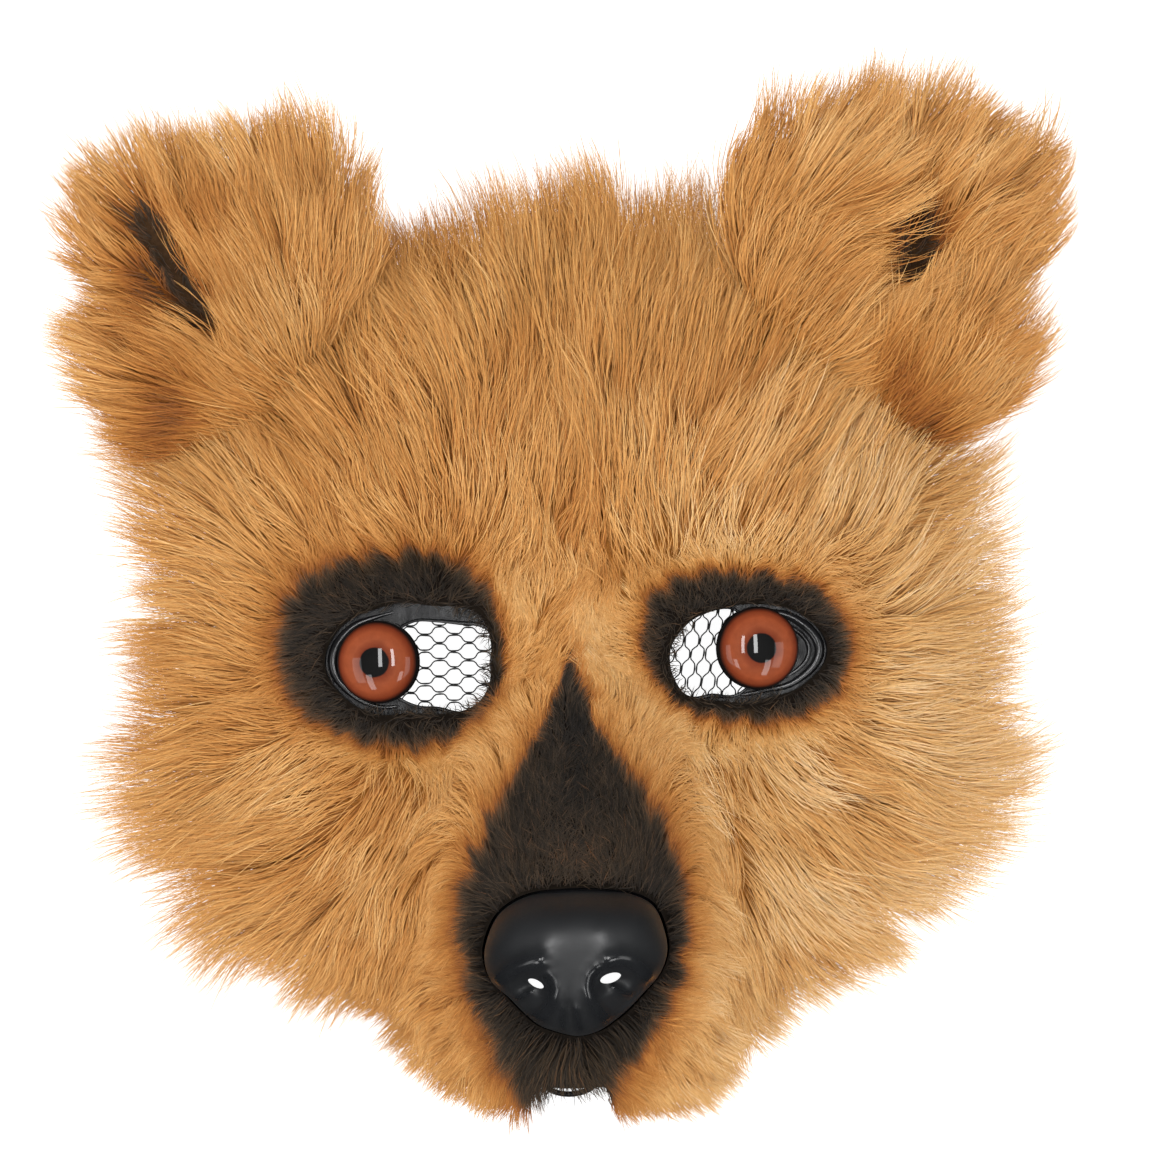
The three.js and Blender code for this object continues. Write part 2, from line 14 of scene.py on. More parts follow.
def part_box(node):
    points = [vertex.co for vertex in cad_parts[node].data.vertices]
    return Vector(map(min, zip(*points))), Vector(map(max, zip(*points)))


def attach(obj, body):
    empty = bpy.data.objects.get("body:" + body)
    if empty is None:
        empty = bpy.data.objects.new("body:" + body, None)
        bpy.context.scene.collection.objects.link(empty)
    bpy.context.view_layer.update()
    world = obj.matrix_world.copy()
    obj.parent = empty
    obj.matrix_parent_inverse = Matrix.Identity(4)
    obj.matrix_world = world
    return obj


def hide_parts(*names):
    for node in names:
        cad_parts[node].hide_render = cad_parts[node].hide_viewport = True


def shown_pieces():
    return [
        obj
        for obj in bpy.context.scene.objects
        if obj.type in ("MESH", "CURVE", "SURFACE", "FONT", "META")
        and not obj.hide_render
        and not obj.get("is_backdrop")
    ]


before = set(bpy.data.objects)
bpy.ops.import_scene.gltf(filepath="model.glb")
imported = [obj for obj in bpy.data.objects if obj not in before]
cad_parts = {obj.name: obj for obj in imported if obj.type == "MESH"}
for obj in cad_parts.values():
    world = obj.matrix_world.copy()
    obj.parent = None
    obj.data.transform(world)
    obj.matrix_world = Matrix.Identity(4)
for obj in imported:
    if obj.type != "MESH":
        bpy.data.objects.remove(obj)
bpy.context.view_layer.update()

SHIFT = np.array([-4.148, -12.682, 0.0])
SEED = 20

# ------------------------------------------------------------------ sizes
# the same shape as the CAD model's, in millimetres
WALL, GAP = 2.4, 0.35
CENTRE = (0.0, -12.0)
DOME_HEIGHT, DOME_POWER, BRIDGE_POWER = 54.0, 4.0, 2.6
SHELL_HALF = [95, 93, 81, 81.5, 83, 84, 84, 87, 92, 98, 102, 101, 100]  # every 15 degrees from -90
SNOUT = np.array([  # y, rise, half width
    (-125, 50, 28), (-100, 58, 30), (-85, 62, 31), (-70, 60, 30), (-55, 48, 26),
    (-40, 32, 21), (-25, 17, 16), (-10, 6, 12), (6, 1, 12), (30, 0, 12),
], float)
SEAT = dict(x=38, y=-1, rx=27, ry=20, z=47, tilt=9, fade=1.38)
EYE = dict(x=46.2, y=0, radius=10.2, height=7.4, edge=1.6, lift=0.6)
LEFT_WINDOW = (-32, -1, [13.0, 15.0, 11.2, 10.4, 12, 13, 12.5, 12.8, 11.5, 10.8, 13.8, 14.2])
RIGHT_WINDOW = (35, -1, [11, 11.5, 12.2, 10.6, 11.8, 10.7, 10.2, 10.9, 11.9, 10, 11.8, 12])
LEFT_OPENING = (-40, 0, [21, 21, 15, 14, 14.5, 17.5, 19.5, 17, 14.5, 12.5, 15, 20.5])
RIGHT_OPENING = (43, -1, [20.5, 17, 13, 11.5, 12, 15, 17.8, 17.5, 13, 12, 12.5, 16.5])
NOSE = (-0.7, -71.3, [21.9, 22, 21.8, 19.7, 17.2, 15.9, 15.5, 15.9, 17.3, 19, 20.6, 21.4,
                      21.9, 21.2, 19, 18.6, 19, 19, 19.5, 19, 18.2, 18.1, 18.7, 20.6])
NOSE_FRONT, NOSE_DEPTH, NOSE_POWER, NOSE_TILT = 117.0, 20.0, 2.7, 0.1
NOSE_BACK = dict(x=-1.5, y=-76, rx=13, ry=8)
NOSTRILS = [  # x, y, rx, ry, turn
    (-10.4, -77.2, 2.05, 0.95, -30),
    (7.4, -76.5, 2.55, 1.25, 15),
]
EAR_LEFT = (-86, 100, [49, 46, 43, 35, 31, 30, 35, 33, 32, 33, 32, 38, 50, 44, 32, 30, 31, 40])
EAR_RIGHT = (88, 97, [37, 42, 41, 37, 41, 43, 44, 47, 51, 50, 42, 31, 31, 42, 50, 43, 36, 35])
EAR_PLATE = dict(ax=58, ay=52, bx=92, by=103, radius=15, z=19, thick=2.4)
LIP_LOOP = dict(x=-3.5, y=-105.4, rx=8.4, ry=5.8, band=1.3, height=2.6)
STRAP = dict(y=34, width=12, thick=1.2, floor=0.5, tab=15, hump=9, bend=4)


# ------------------------------------------------------------------ helpers
def smooth(v):
    v = np.clip(v, 0, 1)
    return v * v * (3 - 2 * v)


def lerp(a, b, k):
    return a + (b - a) * k


def unit(v):
    return v / np.maximum(np.linalg.norm(v, axis=-1, keepdims=True), 1e-9)


def around(radii, first, deg):
    radii = np.asarray(radii, float)
    n = len(radii)
    at = np.mod((np.asarray(deg, float) - first) / (360 / n), n)
    i = np.floor(at).astype(int)
    k = at - i
    a, b, c, d = (radii[(i + j) % n] for j in (-1, 0, 1, 2))
    return 0.5 * (2 * b + (c - a) * k + (2 * a - 5 * b + 4 * c - d) * k * k + (3 * b - a - 3 * c + d) * k ** 3)


SHELL_RADII = SHELL_HALF + SHELL_HALF[-2:0:-1]


def shell_edge(deg):
    return around(SHELL_RADII, -90, deg)


def seat_plane(x):
    return SEAT["z"] - math.tan(math.radians(SEAT["tilt"])) * (np.abs(x) - SEAT["x"])


def seat_hold(x, y):
    d = np.hypot((np.abs(x) - SEAT["x"]) / SEAT["rx"], (y - SEAT["y"]) / SEAT["ry"])
    return smooth((SEAT["fade"] - d) / (SEAT["fade"] - 1))


def snout_row(y, column):
    return np.interp(y, SNOUT[:, 0], SNOUT[:, column])


def shell_point(deg, s):
    t = 1.5 * s - 0.5 * s ** 3
    r = shell_edge(deg) * t
    x = CENTRE[0] + r * np.cos(np.radians(deg))
    y = CENTRE[1] + r * np.sin(np.radians(deg))
    snout = snout_row(y, 1) * np.exp(-((np.abs(x) / snout_row(y, 2)) ** BRIDGE_POWER))
    z = (DOME_HEIGHT + snout) * np.sqrt(np.maximum(0, 1 - t ** DOME_POWER))
    return np.stack([x, y, lerp(z, seat_plane(x), seat_hold(x, y))], -1)


def shell_normal(deg, s):
    s = np.maximum(s, 0.02)
    a, b = shell_point(deg, s - 1e-3), shell_point(deg, np.minimum(1, s + 1e-3))
    c, d = shell_point(deg - 0.2, s), shell_point(deg + 0.2, s)
    return unit(np.cross(b - a, d - c))


def off_shell(deg, s, distance, foot=0.0):
    deg, s = np.broadcast_arrays(np.asarray(deg, float), np.asarray(s, float))
    p = shell_point(deg, s) + distance * shell_normal(deg, s)
    p[..., 2] = np.where(s >= 1 - 1e-9, foot, np.maximum(p[..., 2], foot))
    return p


def outline(shape, margin=0.0, steps=96):
    x, y, radii = shape
    deg = np.arange(steps) * 360 / steps
    r = around(radii, 0, deg) + margin
    return np.stack([x + r * np.cos(np.radians(deg)), y + r * np.sin(np.radians(deg))], -1)


def inside(shape, x, y, margin=0.0):
    """How far inside a polar outline a place is, in millimetres."""
    dx, dy = x - shape[0], y - shape[1]
    return around(shape[2], 0, np.degrees(np.arctan2(dy, dx))) + margin - np.hypot(dx, dy)


def linear(r, g, b):
    """Linear colour of an 8-bit display colour."""
    c = np.array([r, g, b]) / 255
    c = np.where(c <= 0.04045, c / 12.92, ((c + 0.055) / 1.055) ** 2.4)
    return tuple(float(v) for v in c)


# ------------------------------------------------------------------ meshes
def make_object(name, mesh, material, slot, *replaced):
    ob = bpy.data.objects.new(name, mesh)
    bpy.context.scene.collection.objects.link(ob)
    mesh.materials.append(material)
    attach(ob, "root")
    if replaced:
        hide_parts(*replaced)
    return ob


def raw_mesh(name, points_mm, corners, starts):
    """A mesh from flat arrays; points are in face millimetres."""
    me = bpy.data.meshes.new(name)
    pts = (np.asarray(points_mm, float).reshape(-1, 3) + SHIFT) / 1000
    me.vertices.add(len(pts))
    me.vertices.foreach_set("co", pts.astype(np.float32).ravel())
    me.loops.add(len(corners))
    me.loops.foreach_set("vertex_index", np.asarray(corners, np.int32))
    me.polygons.add(len(starts))
    me.polygons.foreach_set("loop_start", np.asarray(starts, np.int32))
    me.update(calc_edges=True)
    return me


def quads_mesh(name, points_mm, quads):
    quads = np.asarray(quads, np.int32).reshape(-1, 4)
    return raw_mesh(name, points_mm, quads.ravel(), np.arange(len(quads)) * 4)


def py_mesh(name, points_mm, faces):
    me = bpy.data.meshes.new(name)
    pts = (np.asarray(points_mm, float).reshape(-1, 3) + SHIFT) / 1000
    me.from_pydata([tuple(p) for p in pts], [], [tuple(int(i) for i in f) for f in faces])
    me.update()
    return me


def smooth_all(me, angle=None):
    me.polygons.foreach_set("use_smooth", np.ones(len(me.polygons), bool))
    if angle is not None:
        bm = bmesh.new()
        bm.from_mesh(me)
        for e in bm.edges:
            if len(e.link_faces) == 2 and e.calc_face_angle(0) > math.radians(angle):
                e.smooth = False
        bm.to_mesh(me)
        bm.free()
    me.update()


def grid_solid(top, bottom):
    """Closed solid between two sheets of points on one polar grid.

    Each sheet is (middle point, rings x angles x 3)."""
    (tm, tg), (bm_, bg) = top, bottom
    rings, n = tg.shape[:2]
    pts = np.concatenate([[tm], tg.reshape(-1, 3), [bm_], bg.reshape(-1, 3)])
    low = 1 + rings * n
    faces = []
    at = lambda base, j, i: base + 1 + j * n + (i % n)
    for i in range(n):
        faces.append((0, at(0, 0, i), at(0, 0, i + 1)))
        faces.append((low, at(low, 0, i + 1), at(low, 0, i)))
        for j in range(rings - 1):
            faces.append((at(0, j, i), at(0, j + 1, i), at(0, j + 1, i + 1), at(0, j, i + 1)))
            faces.append((at(low, j, i), at(low, j, i + 1), at(low, j + 1, i + 1), at(low, j + 1, i)))
        faces.append((at(0, rings - 1, i), at(low, rings - 1, i), at(low, rings - 1, i + 1), at(0, rings - 1, i + 1)))
    return pts, faces


def prism(points, low, high):
    n = len(points)
    pts = np.concatenate([np.column_stack([points, np.full(n, low)]), np.column_stack([points, np.full(n, high)])])
    faces = [tuple(range(n))[::-1], tuple(range(n, 2 * n))]
    faces += [(i, (i + 1) % n, n + (i + 1) % n, n + i) for i in range(n)]
    return pts, faces


def oval(x, y, rx, ry, turn=0.0, steps=48):
    a = np.arange(steps) * 2 * np.pi / steps
    c, s = math.cos(math.radians(turn)), math.sin(math.radians(turn))
    u, v = rx * np.cos(a), ry * np.sin(a)
    return np.stack([x + u * c - v * s, y + u * s + v * c], -1)


def bar(ax, ay, bx, by, radius, steps=16):
    along = math.atan2(by - ay, bx - ax)
    t = np.linspace(0, np.pi, steps + 1)
    end = np.stack([bx + radius * np.cos(along - np.pi / 2 + t), by + radius * np.sin(along - np.pi / 2 + t)], -1)
    start = np.stack([ax + radius * np.cos(along + np.pi / 2 + t), ay + radius * np.sin(along + np.pi / 2 + t)], -1)
    return np.concatenate([end, start])


def joined(parts):
    pts, faces, base = [], [], 0
    for p, f in parts:
        pts.append(p)
        faces += [tuple(i + base for i in face) for face in f]
        base += len(p)
    return np.concatenate(pts), faces


def cut(ob, cutters):
    """Takes the cutter solids out of ob for good."""
    pts, faces = joined(cutters)
    me = py_mesh("cutter", pts, faces)
    tool = bpy.data.objects.new("cutter", me)
    bpy.context.scene.collection.objects.link(tool)
    mod = ob.modifiers.new("cut", "BOOLEAN")
    mod.operation, mod.solver, mod.object = "DIFFERENCE", "EXACT", tool
    mod.use_self = False
    dg = bpy.context.evaluated_depsgraph_get()
    made = bpy.data.meshes.new_from_object(ob.evaluated_get(dg))
    old = ob.data
    ob.modifiers.clear()
    ob.data = made
    made.name = old.name
    bpy.data.meshes.remove(old)
    bpy.data.objects.remove(tool)
    bpy.data.meshes.remove(me)
    return ob


def tube(path, radius, sides=6, closed=False):
    """Points and faces of a tube along a path; radius may be a number per point."""
    path = np.asarray(path, float)
    n = len(path)
    radius = np.broadcast_to(np.asarray(radius, float), (n,))
    if closed:
        tangent = unit(np.roll(path, -1, 0) - np.roll(path, 1, 0))
    else:
        tangent = unit(np.gradient(path, axis=0))
    up = np.array([0.0, 0, 1]) if abs(tangent[:, 2]).max() < 0.95 else np.array([0.31, 0.9, 0.2])
    side = unit(np.cross(tangent, up))
    out = np.cross(side, tangent)
    a = np.arange(sides) * 2 * np.pi / sides
    ring = side[:, None] * np.cos(a)[None, :, None] + out[:, None] * np.sin(a)[None, :, None]
    pts = (path[:, None] + ring * radius[:, None, None]).reshape(-1, 3)
    faces = []
    for i in range(n if closed else n - 1):
        k = (i + 1) % n
        for j in range(sides):
            m = (j + 1) % sides
            faces.append((i * sides + j, i * sides + m, k * sides + m, k * sides + j))
    if not closed:
        faces.append(tuple(range(sides))[::-1])
        faces.append(tuple((n - 1) * sides + j for j in range(sides)))
    return pts, faces


# ------------------------------------------------------------------ materials
class Nodes:
    """Short-hand for building a material's node tree."""

    def __init__(self, name):
        self.mat = bpy.data.materials.new(name)
        self.mat.use_nodes = True
        self.tree = self.mat.node_tree
        self.shader = self.tree.nodes["Principled BSDF"]

    def add(self, kind, **values):
        node = self.tree.nodes.new(kind)
        for key, value in values.items():
            if hasattr(node, key) and key not in node.inputs:
                setattr(node, key, value)
            else:
                node.inputs[key].default_value = value
        return node

    def link(self, a, b):
        self.tree.links.new(a, b)

    def set(self, **values):
        for key, value in values.items():
            self.shader.inputs[key.replace("_", " ")].default_value = value

    def coords(self):
        return self.add("ShaderNodeTexCoord").outputs["Object"]

    def noise(self, scale, detail=3.0, rough=0.6, vector=None):
        node = self.add("ShaderNodeTexNoise", Scale=scale, Detail=detail, Roughness=rough)
        if vector is not None:
            self.link(vector, node.inputs["Vector"])
        return node.outputs["Fac"]

    def ramp(self, factor, stops, mode="LINEAR"):
        node = self.add("ShaderNodeValToRGB")
        node.color_ramp.interpolation = mode
        els = node.color_ramp.elements
        while len(els) < len(stops):
            els.new(0.5)
        for el, (at, colour) in zip(els, stops):
            el.position, el.color = at, (*colour, 1)
        self.link(factor, node.inputs["Fac"])
        return node.outputs["Color"]

    def attribute(self, name, output="Fac"):
        return self.add("ShaderNodeAttribute", attribute_name=name).outputs[output]

    def math(self, operation, a, b=None, clamp=False):
        node = self.add("ShaderNodeMath", operation=operation, use_clamp=clamp)
        for socket, value in zip(node.inputs, (a, b)):
            if value is None:
                continue
            if isinstance(value, (int, float)):
                socket.default_value = value
            else:
                self.link(value, socket)
        return node.outputs[0]

    def mix(self, factor, a, b, blend="MIX"):
        node = self.add("ShaderNodeMix", data_type="RGBA", blend_type=blend)
        for socket, value in ((node.inputs[0], factor), (node.inputs[6], a), (node.inputs[7], b)):
            if isinstance(value, (int, float)):
                socket.default_value = value
            elif isinstance(value, tuple):
                socket.default_value = (*value, 1)
            else:
                self.link(value, socket)
        return node.outputs[2]

    def bump(self, height, strength, distance):
        node = self.add("ShaderNodeBump", Strength=strength, Distance=distance)
        self.link(height, node.inputs["Height"])
        self.link(node.outputs["Normal"], self.shader.inputs["Normal"])


GAIN = 0.955  # overall lightness of the fur's colours
FUR_TONES = [  # tone, display colour of the dyed fibre
    (0.00, (12, 10, 9)),
    (0.12, (35, 28, 20)),
    (0.24, (70, 55, 38)),
    (0.36, (102, 68, 41)),
    (0.50, (160, 94, 36)),
    (0.64, (190, 126, 58)),
    (0.78, (213, 156, 87)),
    (0.90, (228, 182, 118)),
    (1.00, (238, 206, 158)),
]


def fur_material(name):
    n = Nodes(name)
    along, tone = n.attribute("along"), n.attribute("tone")
    stops = [(t, tuple(min(1, GAIN * v) for v in linear(*c))) for t, c in FUR_TONES]
    base = n.ramp(tone, stops)
    # painted shade: each strand is darker towards its root, standing for the shade deep in the fur; the ramp by tone is
    # the fibre's dyed colour
    shade = n.ramp(along, [(0.0, (0.6, 0.51, 0.44)), (0.3, (0.9, 0.86, 0.82)), (0.65, (1, 1, 1)), (1.0, (1, 1, 1))])
    dye_and_root_shade = n.mix(1.0, base, shade, "MULTIPLY")
    streak = n.noise(900, 2, 0.5, n.coords())
    fleck = n.ramp(streak, [(0.3, (0.88, 0.87, 0.86)), (0.7, (1.08, 1.08, 1.08))])
    n.link(n.mix(1.0, dye_and_root_shade, fleck, "MULTIPLY"), n.shader.inputs["Base Color"])
    n.set(Roughness=0.55, Specular_IOR_Level=0.2)
    return n.mat


def pelt_material():
    n = Nodes("pelt_backing")
    tone = n.attribute("tone")
    # the backing has the fibre's dyed colours, made darker by 0.7 as painted shade for the deep fur between the strands
    stops = [(t, tuple(0.7 * v for v in linear(*c))) for t, c in FUR_TONES]
    base = n.ramp(tone, stops)
    at = n.coords()
    curl = n.noise(650, 4, 0.7, at)
    fleck = n.ramp(curl, [(0.3, (0.6, 0.56, 0.52)), (0.7, (1.15, 1.12, 1.1))])
    n.link(n.mix(1.0, base, fleck, "MULTIPLY"), n.shader.inputs["Base Color"])
    n.set(Roughness=0.95, Specular_IOR_Level=0.1)
    n.bump(curl, 0.6, 0.0008)
    return n.mat


def shell_material():
    n = Nodes("black_moulded_plastic")
    at = n.coords()
    cloud = n.noise(60, 3, 0.5, at)
    n.link(n.ramp(cloud, [(0.3, (0.006, 0.006, 0.0065)), (0.75, (0.012, 0.012, 0.013))]), n.shader.inputs["Base Color"])
    worn = n.noise(240, 4, 0.65, at)
    n.link(n.ramp(worn, [(0.3, (0.16,) * 3), (0.75, (0.3,) * 3)]), n.shader.inputs["Roughness"])
    n.set(Specular_IOR_Level=0.5)
    n.bump(n.noise(180, 3, 0.55, at), 0.2, 0.0005)
    return n.mat


def nose_material():
    n = Nodes("satin_black_plastic")
    at = n.coords()
    cloud = n.noise(90, 3, 0.5, at)
    n.link(n.ramp(cloud, [(0.3, (0.008, 0.0085, 0.0095)), (0.75, (0.012, 0.0128, 0.014))]), n.shader.inputs["Base Color"])
    grain = n.noise(1500, 2, 0.5, at)
    worn = n.ramp(n.attribute("polish"), [(0.0, (0.58,) * 3), (1.0, (0.19,) * 3)])
    n.link(n.mix(1.0, worn, n.ramp(grain, [(0.3, (0.95,) * 3), (0.7, (1.05,) * 3)]), "MULTIPLY"), n.shader.inputs["Roughness"])
    n.set(Specular_IOR_Level=0.46)
    n.bump(grain, 0.05, 0.0002)
    return n.mat


def eye_material():
    n = Nodes("eye_glossy_dome")
    r = n.attribute("iris")
    at = n.coords()
    fibre = n.noise(420, 4, 0.6, at)
    wander = n.math("ADD", r, n.math("MULTIPLY", n.math("SUBTRACT", fibre, 0.5), 0.03))
    colour = n.ramp(wander, [
        (0.0, (0.003, 0.003, 0.003)),
        (0.345, (0.003, 0.003, 0.003)),
        (0.372, linear(104, 44, 24)),
        (0.55, linear(133, 66, 39)),
        (0.74, linear(137, 66, 37)),
        (0.88, linear(110, 45, 23)),
        (0.935, linear(66, 28, 16)),
        (0.96, (0.006, 0.005, 0.005)),
    ])
    soft = n.ramp(fibre, [(0.3, (0.9, 0.88, 0.86)), (0.7, (1.1, 1.1, 1.08))])
    n.link(n.mix(1.0, colour, soft, "MULTIPLY"), n.shader.inputs["Base Color"])
    n.set(Roughness=0.6, Specular_IOR_Level=0.1, Coat_Weight=0.6, Coat_Roughness=0.02)
    return n.mat


def net_material():
    n = Nodes("black_net_thread")
    twist = n.add("ShaderNodeTexWave", Scale=900.0, Distortion=1.5)
    n.link(n.coords(), twist.inputs["Vector"])
    n.link(n.ramp(twist.outputs["Fac"], [(0.0, (0.006,) * 3), (1.0, (0.022,) * 3)]), n.shader.inputs["Base Color"])
    n.set(Roughness=0.75, Specular_IOR_Level=0.3)
    return n.mat


def elastic_material():
    n = Nodes("woven_elastic")
    at = n.coords()
    ribs = n.add("ShaderNodeTexWave", Scale=190.0, Distortion=0.3, bands_direction="Y")
    n.link(at, ribs.inputs["Vector"])
    picks = n.add("ShaderNodeTexWave", Scale=330.0, Distortion=0.6, bands_direction="X")
    n.link(at, picks.inputs["Vector"])
    weave = n.math("MULTIPLY", ribs.outputs["Fac"], picks.outputs["Fac"])
    n.link(n.ramp(weave, [(0.0, (0.004,) * 3), (1.0, (0.035, 0.035, 0.037))]), n.shader.inputs["Base Color"])
    n.set(Roughness=0.8, Specular_IOR_Level=0.3)
    n.bump(weave, 0.8, 0.0004)
    return n.mat


FUR = fur_material("faux_fur_fibre")
EAR_FUR = fur_material("ear_fur_fibre")
PELT = pelt_material()
SHELL = shell_material()
NOSE_MAT = nose_material()
EYE_MAT = eye_material()
NET_MAT = net_material()
ELASTIC = elastic_material()


# ------------------------------------------------------------------ shell
def polar_sheet(fn, angles, rings):
    s = np.linspace(0, 1, rings + 1)[1:]
    deg, ss = np.meshgrid(angles, s)
    grid = fn(deg, ss)
    middle = fn(np.array([0.0]), np.array([0.0]))[0]
    return middle, grid


def build_shell():
    angles = np.arange(0, 360, 3.0)
    outer = polar_sheet(lambda d, s: off_shell(d, s, 0), angles, 52)
    inner = polar_sheet(lambda d, s: off_shell(d, s, -WALL), angles, 52)
    ob = make_object("shell_moulding", py_mesh("shell_moulding", *grid_solid(outer, inner)), SHELL, "shell_plastic", "mask_shell")
    holes = [prism(outline(w, 0, 72), 20, 90) for w in (LEFT_WINDOW, RIGHT_WINDOW)]
    holes.append(prism(oval(**NOSE_BACK), 60, 140))
    cut(ob, holes)
    smooth_all(ob.data, 35)

    # plates that carry the ears, cut back to the shell's wall
    few = np.arange(0, 360, 6.0)
    level = lambda p, z: np.concatenate([p[..., :2], np.full(p.shape[:-1] + (1,), z)], -1)
    fill_top = polar_sheet(lambda d, s: off_shell(d, s, -1.2), few, 30)
    fill_low = (level(fill_top[0], -1.0), level(fill_top[1], -1.0))
    fill = grid_solid(fill_top, fill_low)
    extra = []
    for side in (-1, 1):
        e = EAR_PLATE
        shape = bar(side * e["ax"], e["ay"], side * e["bx"], e["by"], e["radius"])
        if side < 0:
            shape = shape[::-1] if polygon_area(shape) < 0 else shape
        extra.append(prism(shape, e["z"], e["z"] + e["thick"]))
    plates = make_object("ear_plates", py_mesh("ear_plates", *joined(extra)), SHELL, "shell_plastic")
    cut(plates, [fill])

    # lip loop, a band bent round under the chin
    q = LIP_LOOP
    a = np.linspace(0, 2 * np.pi, 65)[:-1]
    section = [(0.0, 0.25), (0.25, 0.0), (q["band"] - 0.25, 0.0), (q["band"], 0.25), (q["band"], q["height"] - 0.25), (q["band"] - 0.25, q["height"]), (0.25, q["height"]), (0.0, q["height"] - 0.25)]
    pts = np.array([[q["x"] + (q["rx"] - d) * math.cos(t), q["y"] + (q["ry"] - d) * math.sin(t), z] for t in a for d, z in section])
    m = len(section)
    faces = [(i * m + j, i * m + (j + 1) % m, ((i + 1) % 64) * m + (j + 1) % m, ((i + 1) % 64) * m + j) for i in range(64) for j in range(m)]
    loop = make_object("lip_loop", py_mesh("lip_loop", pts, faces), SHELL, "shell_plastic")

    # raised rims round the eye sockets and along the windows' edges
    rims = []
    for window, opening, side in ((LEFT_WINDOW, LEFT_OPENING, -1), (RIGHT_WINDOW, RIGHT_OPENING, 1)):
        for shape, margin, radius, lift in ((window, 0.2, 0.45, 0.1), (opening, -1.7, 1.2, -0.3), (opening, -4.2, 0.6, -0.15)):
            p = outline(shape, margin, 80)
            z = seat_plane(p[:, 0]) + lift
            wobble = 1 + 0.18 * np.sin(np.arange(80) * 2 * np.pi / 80 * 3 + side)
            keep = np.ones(80, bool)
            if shape is opening:
                keep = (side * p[:, 0]) > (46 if margin < -3 else 40)
            rad = np.broadcast_to(radius * wobble, (80,))
            if keep.all():
                rims.append(tube(np.column_stack([p, z]), rad, 8, closed=True))
            else:
                idx = np.flatnonzero(keep)
                gap = np.flatnonzero(np.diff(idx) > 1)
                if len(gap):
                    idx = np.roll(idx, -(gap[0] + 1))
                fade = np.sin(np.linspace(0, np.pi, len(idx))) ** 0.5
                rims.append(tube(np.column_stack([p, z])[idx], np.maximum(rad[idx] * fade, 0.05), 8))
    rim = make_object("socket_rims", py_mesh("socket_rims", *joined(rims)), SHELL, "shell_plastic")
    smooth_all(rim.data)
    smooth_all(loop.data, 50)
    smooth_all(plates.data, 35)
    return ob


def polygon_area(p):
    x, y = p[:, 0], p[:, 1]
    return 0.5 * float(np.sum(x * np.roll(y, -1) - np.roll(x, -1) * y))


# ------------------------------------------------------------------ fur's fields
# how the fur lies, from place to place on the face; fan means outwards from
# the row's own middle, otherwise deg is the way that it points
LAY = [  # name, x, y, rx, ry, fan, deg, length, lift, weight
    ("left eye", -40, 1, 29, 21, True, 0, 4.2, 40, 6),
    ("right eye", 42, 0, 27, 19, True, 0, 4.0, 40, 6),
    ("between the eyes", 0, 4, 13, 16, False, 90, 8, 30, 3),
    ("left of the bridge", -17, -16, 9, 12, False, 145, 8, 30, 2.5),
    ("right of the bridge", 17, -16, 9, 12, False, 35, 8, 30, 2.5),
    ("bridge", 0, -33, 14, 18, False, 90, 4, 38, 5),
    ("muzzle top", 0, -60, 22, 14, False, 80, 4.2, 45, 5),
    ("left of the nose", -25, -76, 9, 18, False, -150, 5, 40, 4),
    ("right of the nose", 24, -76, 9, 18, False, -35, 5, 40, 4),
    ("muzzle's left", -40, -58, 10, 20, False, -112, 14, 36, 3),
    ("muzzle's right", 38, -58, 10, 22, False, -72, 14, 36, 3),
    ("lower left muzzle", -37, -86, 12, 14, False, -125, 17, 40, 3),
    ("lower right muzzle", 33, -90, 12, 14, False, -62, 17, 40, 3),
    ("left chin", -12, -99, 9, 9, False, -128, 9, 40, 4),
    ("right chin", 6, -100, 9, 9, False, -58, 9, 40, 4),
    ("left brow", -42, 36, 24, 8, False, 116, 22, 24, 0.8),
    ("right brow", 40, 32, 22, 8, False, 60, 22, 24, 0.8),
    ("forehead", 0, 42, 26, 22, False, 92, 26, 22, 0.5),
    ("crown", 6, 92, 26, 12, False, 88, 37, 42, 1.0),
    ("crown's left", -27, 84, 15, 12, False, 96, 30, 38, 1.0),
    ("left ear's foot", -62, 62, 15, 11, False, 124, 40, 50, 1.2),
    ("right ear's foot", 61, 66, 15, 11, False, 46, 40, 50, 1.2),
    ("left temple", -78, 40, 10, 15, False, 156, 46, 50, 1.4),
    ("left cheek", -84, -10, 13, 28, False, 182, 48, 47, 0.8),
    ("right cheek", 85, -4, 13, 28, False, 8, 45, 46, 0.8),
    ("lower left cheek", -53, -72, 11, 10, False, 222, 23, 34, 0.8),
    ("lower right cheek", 61, -66, 13, 12, False, -34, 23, 34, 0.9),
    ("left under the eye", -58, -30, 13, 8, False, 190, 22, 24, 0.8),
    ("right under the eye", 58, -28, 13, 8, False, -6, 22, 24, 0.8),
]
FAN = (0.0, -22.0)  # the rest of the face's fur points away from here
BASE = dict(length=36.0, lift=27.0, weight=0.22)

LEFT_PATCH = (-42, 0, [25.4, 29, 29.2, 27.4, 28.9, 31.7, 30.0, 26.1, 22.5, 21.7, 23.6, 25.7])
RIGHT_PATCH = (43, 0, [27.1, 25.3, 20.8, 19.6, 22.5, 26.7, 24.9, 22.7, 19.4, 18.8, 21.4, 25.7])
WEDGE = np.array([  # y, left edge, right edge of the dark fur down the snout
    (-118, -14, 5), (-107.6, -15.9, 6.6), (-99.9, -19.9, 11.2), (-88.7, -23.4, 18.5), (-76.6, -26.8, 24.8),
    (-64.7, -29.2, 26.2), (-54.3, -27.2, 25.2), (-43.9, -22.6, 22.4), (-32.3, -16.3, 15.4), (-21.6, -8.8, 7.9),
    (-13.2, -3.8, 3.9), (-4.8, -1.0, 1.5), (0, -0.2, 0.4),
], float)


